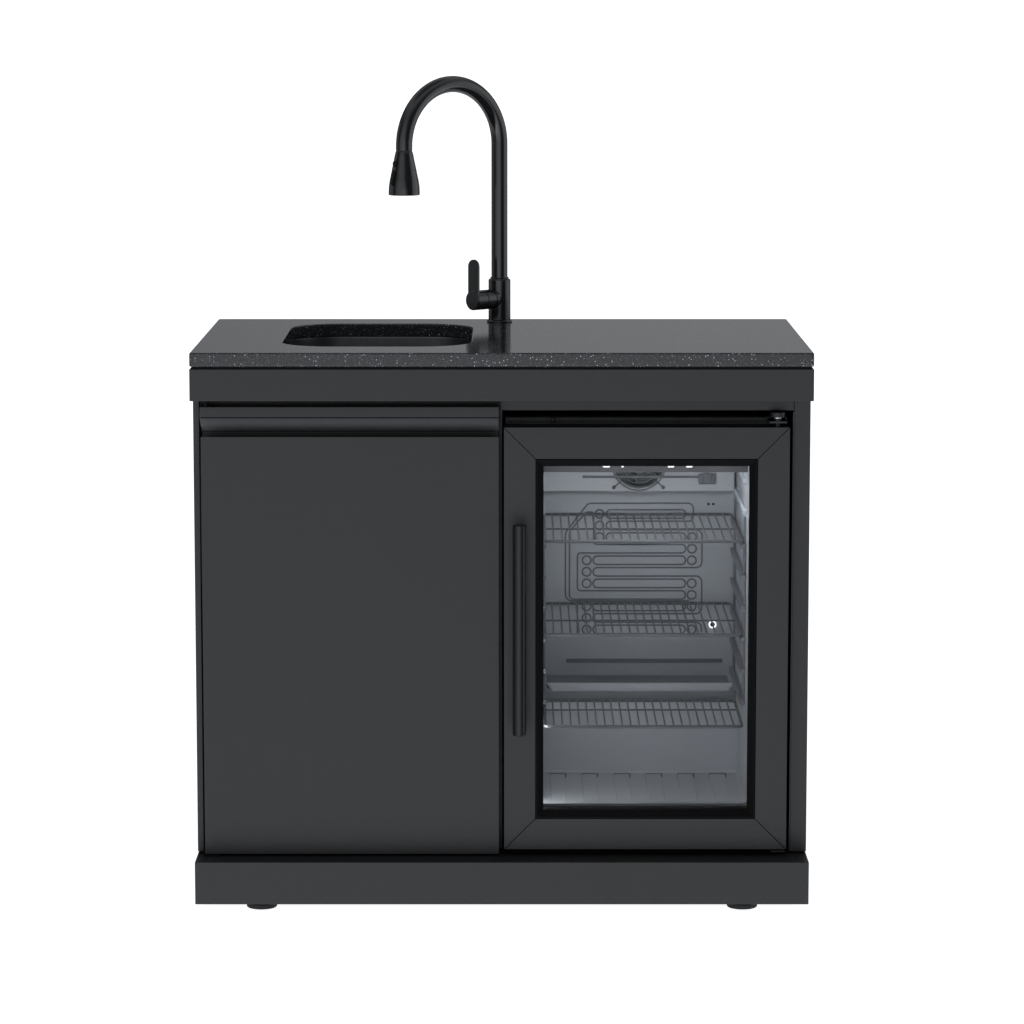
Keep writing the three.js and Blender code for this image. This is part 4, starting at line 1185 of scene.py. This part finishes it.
def fan(node, material, blades=5):
    """Hub and twisted blades about the joint's axis; the body has the node's name."""
    low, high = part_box(node)
    hub = joint_at(node + "_spin")
    depth = high.y - low.y
    radius = (high.x - low.x) / 2
    core = radius * 0.3
    parts = [turned([(0, 0), (core * 0.8, 0, 0.002), (core, depth * 0.25, 0.001), (core, depth * 0.95),
                     (0, depth * 0.95)], (hub.x, low.y, hub.z), BACKWARDS, sides=48)]
    for k in range(blades):
        loops = []
        for i in range(9):
            out = i / 8
            r = core * 0.9 + (radius * 0.985 - core * 0.9) * out
            chord = 0.62 - 0.10 * out
            pitch = depth * 0.42 * (1 - 0.35 * out)
            top = []
            bottom = []
            for s in range(9):
                share = s / 8 - 0.5
                a = 2 * pi * k / blades + share * chord * 2 * (0.8 + 0.3 * out) + 0.12 * out
                bulge = 0.0006 + 0.0006 * (1 - (2 * share) ** 2)
                y = (low.y + high.y) / 2 + pitch * 2 * share * 0.9
                top.append(Vector((hub.x + r * cos(a), y - bulge, hub.z + r * sin(a))))
                bottom.append(Vector((hub.x + r * cos(a), y + bulge * 0.3, hub.z + r * sin(a))))
            loops.append(top + list(reversed(bottom)))
        parts.append(loft(loops))
    piece(node + "_impeller", joined(parts), material, node, node, angle=40)


def fascia():
    low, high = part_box("control_fascia")
    piece("control_panel", soft_block(low, high, 0.0016, 3), FASCIA, "control_fascia")
    marks = [soft_block((low.x + x, low.y - 0.0006, high.z - 0.0125),
                        (low.x + x + wide, low.y + 0.001, high.z - 0.0100), 0.0004)
             for x, wide in ((0.099, 0.011), (0.129, 0.004), (0.205, 0.010), (0.235, 0.010))]
    piece("control_marks", joined(marks), MARK_PAINTED_GLOW)
    strip = soft_block((low.x + 0.060, high.y + 0.001, high.z - 0.009),
                       (high.x - 0.060, high.y + 0.011, high.z - 0.003), 0.0008)
    piece("fridge_light_strip", strip, LED)
    x, y, z = CAVITY_X[0], CAVITY_Y[0], CAVITY_Z[0]
    side = soft_block((x + 0.0002, y + 0.003, z + 0.012), (x + 0.0022, y + 0.009, z + 0.290), 0.0004)
    piece("fridge_side_light", side, SIDE_LED)


def shelf(node):
    low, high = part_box(node)
    z = (low.z + high.z) / 2
    frame_r, wire_r, wires = 0.0025, 0.0014, 22
    x0, x1 = low.x + frame_r, high.x - frame_r
    y0, y1 = low.y + frame_r, high.y - frame_r
    bars = []
    for k in range(1, wires + 1):
        x = x0 + (x1 - x0) * k / (wires + 1)
        bars.append((Vector((x, y0, z + 0.0011)), Vector((x, y1, z + 0.0011)), wire_r))
    middle = y0 + (y1 - y0) * (0.47 if y1 - y0 > LONG_SHELF else 0.67)
    for y, drop, radius in ((y0 + 0.008, 0.0, 0.0018), (middle, 0.0010, 0.0015)):
        bars.append((Vector((x0, y, z - drop)), Vector((x1, y, z - drop)), radius))
    hoop = [Vector((u, v, z)) for u, v in rounded_loop(x0, x1, y0, y1, 0.012, 6)]
    parts = [tube(hoop, frame_r, 14, True), rods(bars, 10)]
    piece(node + "_wires", joined(parts), WIRE, node, angle=60)


# ---- machine space ---------------------------------------------------------
def machinery():
    low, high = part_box("compressor")
    spot = centre("compressor")
    can = [(0, 0), (0.058, 0, 0.004), (0.0615, 0.010, 0.004), (0.0615, 0.060), (0.064, 0.064, 0.001),
           (0.064, 0.070, 0.001), (0.0615, 0.074), (0.0615, 0.118, 0.010), (0.050, 0.145, 0.02),
           (0.024, 0.156, 0.01), (0, high.z - low.z)]
    cover = soft_block((spot.x + 0.040, spot.y - 0.022, low.z + 0.040),
                       (spot.x + 0.0638, spot.y + 0.022, low.z + 0.098), 0.003, 3)
    compressor = [turned(can, (spot.x, spot.y, low.z), sides=64), cover]
    piece("compressor_can", joined(compressor), MACHINE, "compressor")
    stub = [(0, 0), (0.0042, 0), (0.0042, 0.012), (0.0030, 0.0125), (0, 0.0125)]
    stubs = [turned(stub, (spot.x + dx, spot.y - 0.052, low.z + 0.05), FORWARDS, sides=16)
             for dx in (-0.014, 0.012)]
    piece("compressor_stubs", joined(stubs), COPPER)

    low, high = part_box("condenser")
    fin, end = 0.0006, 0.0016
    fins = []
    for k in range(38):
        x = low.x + 0.0035 + k * (high.x - low.x - 0.0076) / 37
        fins.append(block((x, low.y + 0.002, low.z + 0.003), (x + fin, high.y - 0.002, high.z - 0.003)))
    fins += [soft_block(low, (low.x + end, high.y, high.z), 0.0004),
             soft_block((high.x - end, low.y, low.z), high, 0.0004)]
    tubes = []
    for i in range(6):
        z = low.z + 0.014 + i * (high.z - low.z - 0.028) / 5
        for y in (low.y + 0.013, high.y - 0.013):
            tubes.append((Vector((low.x + 0.001, y, z)), Vector((high.x - 0.001, y, z)), 0.0035))
    piece("condenser_fins", joined(fins), FIN, "condenser")
    piece("condenser_tubes", rods(tubes, 14), COPPER)
    fan("condenser_fan", MACHINE)
    cad_piece("rear_grille", "rear_grille_louvres", 0.0006, MACHINE)
    low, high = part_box("rear_grille")
    heads = [cap_screw((x, high.y, z), BACKWARDS, 0.003, 0.0014) for x in (low.x + 0.007, high.x - 0.007)
             for z in (low.z + 0.007, high.z - 0.007)]
    piece("grille_screws", joined(heads), ZINC)


# ---- refrigerator door -----------------------------------------------------
def rect_ring(low, high, section, edge):
    """A ring round the inside of a box's front view; the section is (inset, y) corners."""
    rings = []
    for inset, y in section:
        x0, x1, z0, z1 = low.x + inset, high.x - inset, low.z + inset, high.z - inset
        rings.append([Vector((u, y, v)) for u, v in ((x0, z0), (x1, z0), (x1, z1), (x0, z1))])
    return rounded(loft(rings, ring=True), edge, 2)


def door_frame():
    low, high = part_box("fridge_door_frame")
    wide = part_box("fridge_door_bead")[0].x - low.x - 0.0003
    seam = 0.00025

    def mitred(start, end, outer, sign):
        """(along, across) corners of one profile; sign points outwards."""
        inner = outer - sign * wide
        return [(start + seam, outer), (end - seam, outer), (end - wide - seam, inner),
                (start + wide + seam, inner)]

    bars = [mitred(low.x, high.x, low.z, -1), mitred(low.x, high.x, high.z, 1)]
    for outer, sign in ((low.x, -1), (high.x, 1)):
        bars.append([(u, v) for v, u in mitred(low.z, high.z, outer, sign)])
    parts = [rounded(loft([[Vector((u, w, v)) for u, v in bar] for w in (low.y, high.y)]), 0.0009)
             for bar in bars]
    hinge = joint_at("fridge_door_swing")
    pins = [turned(cylinder(0.0047, 0, 0.021), (hinge.x, hinge.y, z), sides=32)
            for z in (high.z - 0.020, low.z - 0.001)]
    piece("fridge_door_profiles", carved(joined(parts), pins), PANEL,
          "fridge_door_frame", "fridge_door")

    low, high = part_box("fridge_door_bead")
    wide = 0.0126
    thick = high.y - low.y
    section = [(0, 0.0006), (0.0006, 0), (0.0030, 0), (wide - 0.0012, thick * 0.55), (wide, thick * 0.62),
               (wide, thick), (0, thick)]
    bead = rect_ring(low, high, [(inset, low.y + deep) for inset, deep in section], 0.0003)
    piece("fridge_door_glazing_bead", bead, BEAD, "fridge_door_bead", "fridge_door")

    low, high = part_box("fridge_glass")
    pane, gap, wide = 0.004, 0.0003, 0.0085
    panes = [soft_block(low, (high.x, low.y + pane, high.z), 0.0005),
             soft_block((low.x, high.y - pane, low.z), high, 0.0005)]
    piece("fridge_door_panes", joined(panes), GLASS, "fridge_glass", "fridge_door")
    front, back = low.y + pane + gap, high.y - pane - gap
    spacer = rect_ring(low, high, [(0.0, front), (wide, front), (wide, back), (0.0, back)], 0.0006)
    piece("fridge_door_spacer", spacer, BEAD, body="fridge_door")

    low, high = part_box("fridge_gasket")
    thick = high.y - low.y
    section = [(0.0, 0.0), (0.0, thick * 0.5), (0.003, thick * 0.62), (0.001, thick * 0.75),
               (0.0015, thick), (0.0125, thick), (0.013, thick * 0.75), (0.011, thick * 0.62),
               (0.014, thick * 0.5), (0.014, 0.0)]
    seal = rect_ring(low, high, [(inset, low.y + deep) for inset, deep in section], 0.0004)
    piece("fridge_door_seal", seal, RUBBER, "fridge_gasket", "fridge_door")

    low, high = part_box("fridge_handle")
    radius = 0.011
    x, y = (low.x + high.x) / 2, low.y + radius
    tall, reach = high.z - low.z, high.y - y
    bar = [(0, 0), (0.0098, 0, 0.0008), (radius, 0.0010, 0.0006), (radius, tall - 0.0010, 0.0006),
           (0.0098, tall, 0.0008), (0, tall)]
    post = [(0, 0), (0.0060, 0), (0.0060, reach - 0.0035, 0.0010), (0.0078, reach - 0.0022, 0.0006),
            (0.0078, reach), (0, reach)]
    posts = [turned(post, (x, y, z), BACKWARDS, sides=40) for z in (low.z + 0.0375, high.z - 0.038)]
    handle = carved(turned(bar, (x, y, low.z)), posts, union=True)
    piece("fridge_door_handle", handle, HANDLE_BLACK, "fridge_handle", "fridge_door")


def hinges():
    for node in ("fridge_hinge_top", "fridge_hinge_bottom"):
        cad_piece(node, node + "_steel", 0.0005, MACHINE, segments=2)
    low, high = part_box("fridge_case")
    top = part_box("fridge_hinge_top")
    strip = soft_block((low.x + 0.002, low.y - 0.0040, high.z - 0.0085),
                       (top[0].x - 0.002, low.y - 0.0003, high.z - 0.0005), 0.001)
    cap = turned([(0, 0), (0.0045, 0), (0.0045, 0.0012, 0.0006), (0.0030, 0.0026, 0.001), (0, 0.0030)],
                 (low.x + 0.077, low.y - 0.0038, high.z - 0.0045), FORWARDS, sides=28)
    piece("fridge_top_strip", joined([strip, cap]), MACHINE)
    pin = joint_at("fridge_door_swing")
    bush = turned([(0.0041, 0), (0.0062, 0, 0.0004), (0.0062, 0.0024, 0.0004), (0.0041, 0.0024)],
                  (pin.x, pin.y, top[1].z - 0.0102), closed=True)
    piece("hinge_bush", bush, ZINC)


# ---- build -----------------------------------------------------------------
worktop()
sink()
plumbing()
carcass()
cupboard_door()
tap()
spray()
hose()
lever()
fridge_case()
liner_details()
ladder("shelf_support_left", 1)
ladder("shelf_support_right", -1)
evaporator()
evaporator_cover()
drain_plug()
fan("evaporator_fan", FAN)
fascia()
for shelf_node in ("shelf_upper", "shelf_middle", "shelf_lower"):
    shelf(shelf_node)
machinery()
door_frame()
hinges()


# ---- studio ----------------------------------------------------------------
def backdrop(name, mesh):
    """A white surface for the camera alone, which neither lights nor shades the object."""
    obj = linked(mesh, name)
    look = Look(name + "_white", (0.8, 0.8, 0.8), 0.9)
    look.vary(look.noise(0.3, 1), 0.005)
    look.glow((1, 1, 1), 0.97)
    mesh.materials.append(look.mat)
    obj.visible_diffuse = False
    obj.visible_glossy = False
    obj.visible_shadow = False
    obj.visible_transmission = False


def sky(patches, ambient, tint):
    """World light from soft patches; each is (direction, inner cosine, outer cosine, strength)."""
    world = bpy.data.worlds.new("studio")
    scene.world = world
    world.use_nodes = True
    tree = Nodes(world.node_tree)
    background = tree.nodes["Background"]
    way = tree.node("ShaderNodeTexCoord").outputs["Generated"]
    total = None
    for direction, inner, outer, strength in patches:
        dot = tree.node("ShaderNodeVectorMath", (("operation", "DOT_PRODUCT"),))
        tree.feed(dot.inputs[0], way)
        tree.feed(dot.inputs[1], Vector(direction).normalized())
        fade = tree.node("ShaderNodeMapRange", (("interpolation_type", "SMOOTHSTEP"),),
                         Value=dot.outputs["Value"], From_Min=outer, From_Max=inner,
                         To_Min=ambient if total is None else 0.0, To_Max=strength).outputs["Result"]
        total = fade if total is None else tree.math("ADD", total, fade)
    tree.feed(background.inputs["Strength"], total)
    tree.feed(background.inputs["Color"], (*tint, 1))


def studio():
    far = 900.0
    floor = mesh_from([(-far, -far, 0), (far, -far, 0), (far, far, 0), (-far, far, 0)], [(0, 1, 2, 3)])
    backdrop("studio_floor", floor)
    backdrop("studio_dome", turned(sphere(far, 10), sides=48))
    sky((
        ((-0.42, -0.90, -0.12), 0.97, 0.60, 0.70),
        ((0.0, -0.75, -0.65), 0.95, 0.60, 0.60),
        ((-0.93, 0.36, 0.0), 0.97, 0.86, 0.30),
        ((0.25, 0.96, 0.10), 0.985, 0.85, 0.25),
        ((1.0, 0.15, 0.0), 0.96, 0.75, 0.8),
        ((0.0, 0.0, 1.0), 0.95, 0.30, 0.55),
        ((0.0, 0.0, 1.0), 0.98, 0.80, -0.45),
        ((0.0, 0.0, -1.0), 0.50, 0.17, 0.60),
    ), 0.04, (0.93, 0.96, 1.0))

    data = bpy.data.cameras.new("camera")
    data.lens = 135
    data.sensor_width = 36
    data.clip_end = 3000
    camera = bpy.data.objects.new("camera", data)
    camera.location = (0.0165, -6.428, 1.5075)
    camera.rotation_euler = (radians(82.14), 0, 0)
    scene.collection.objects.link(camera)
    scene.camera = camera
    scene.view_settings.view_transform = "Standard"


studio()
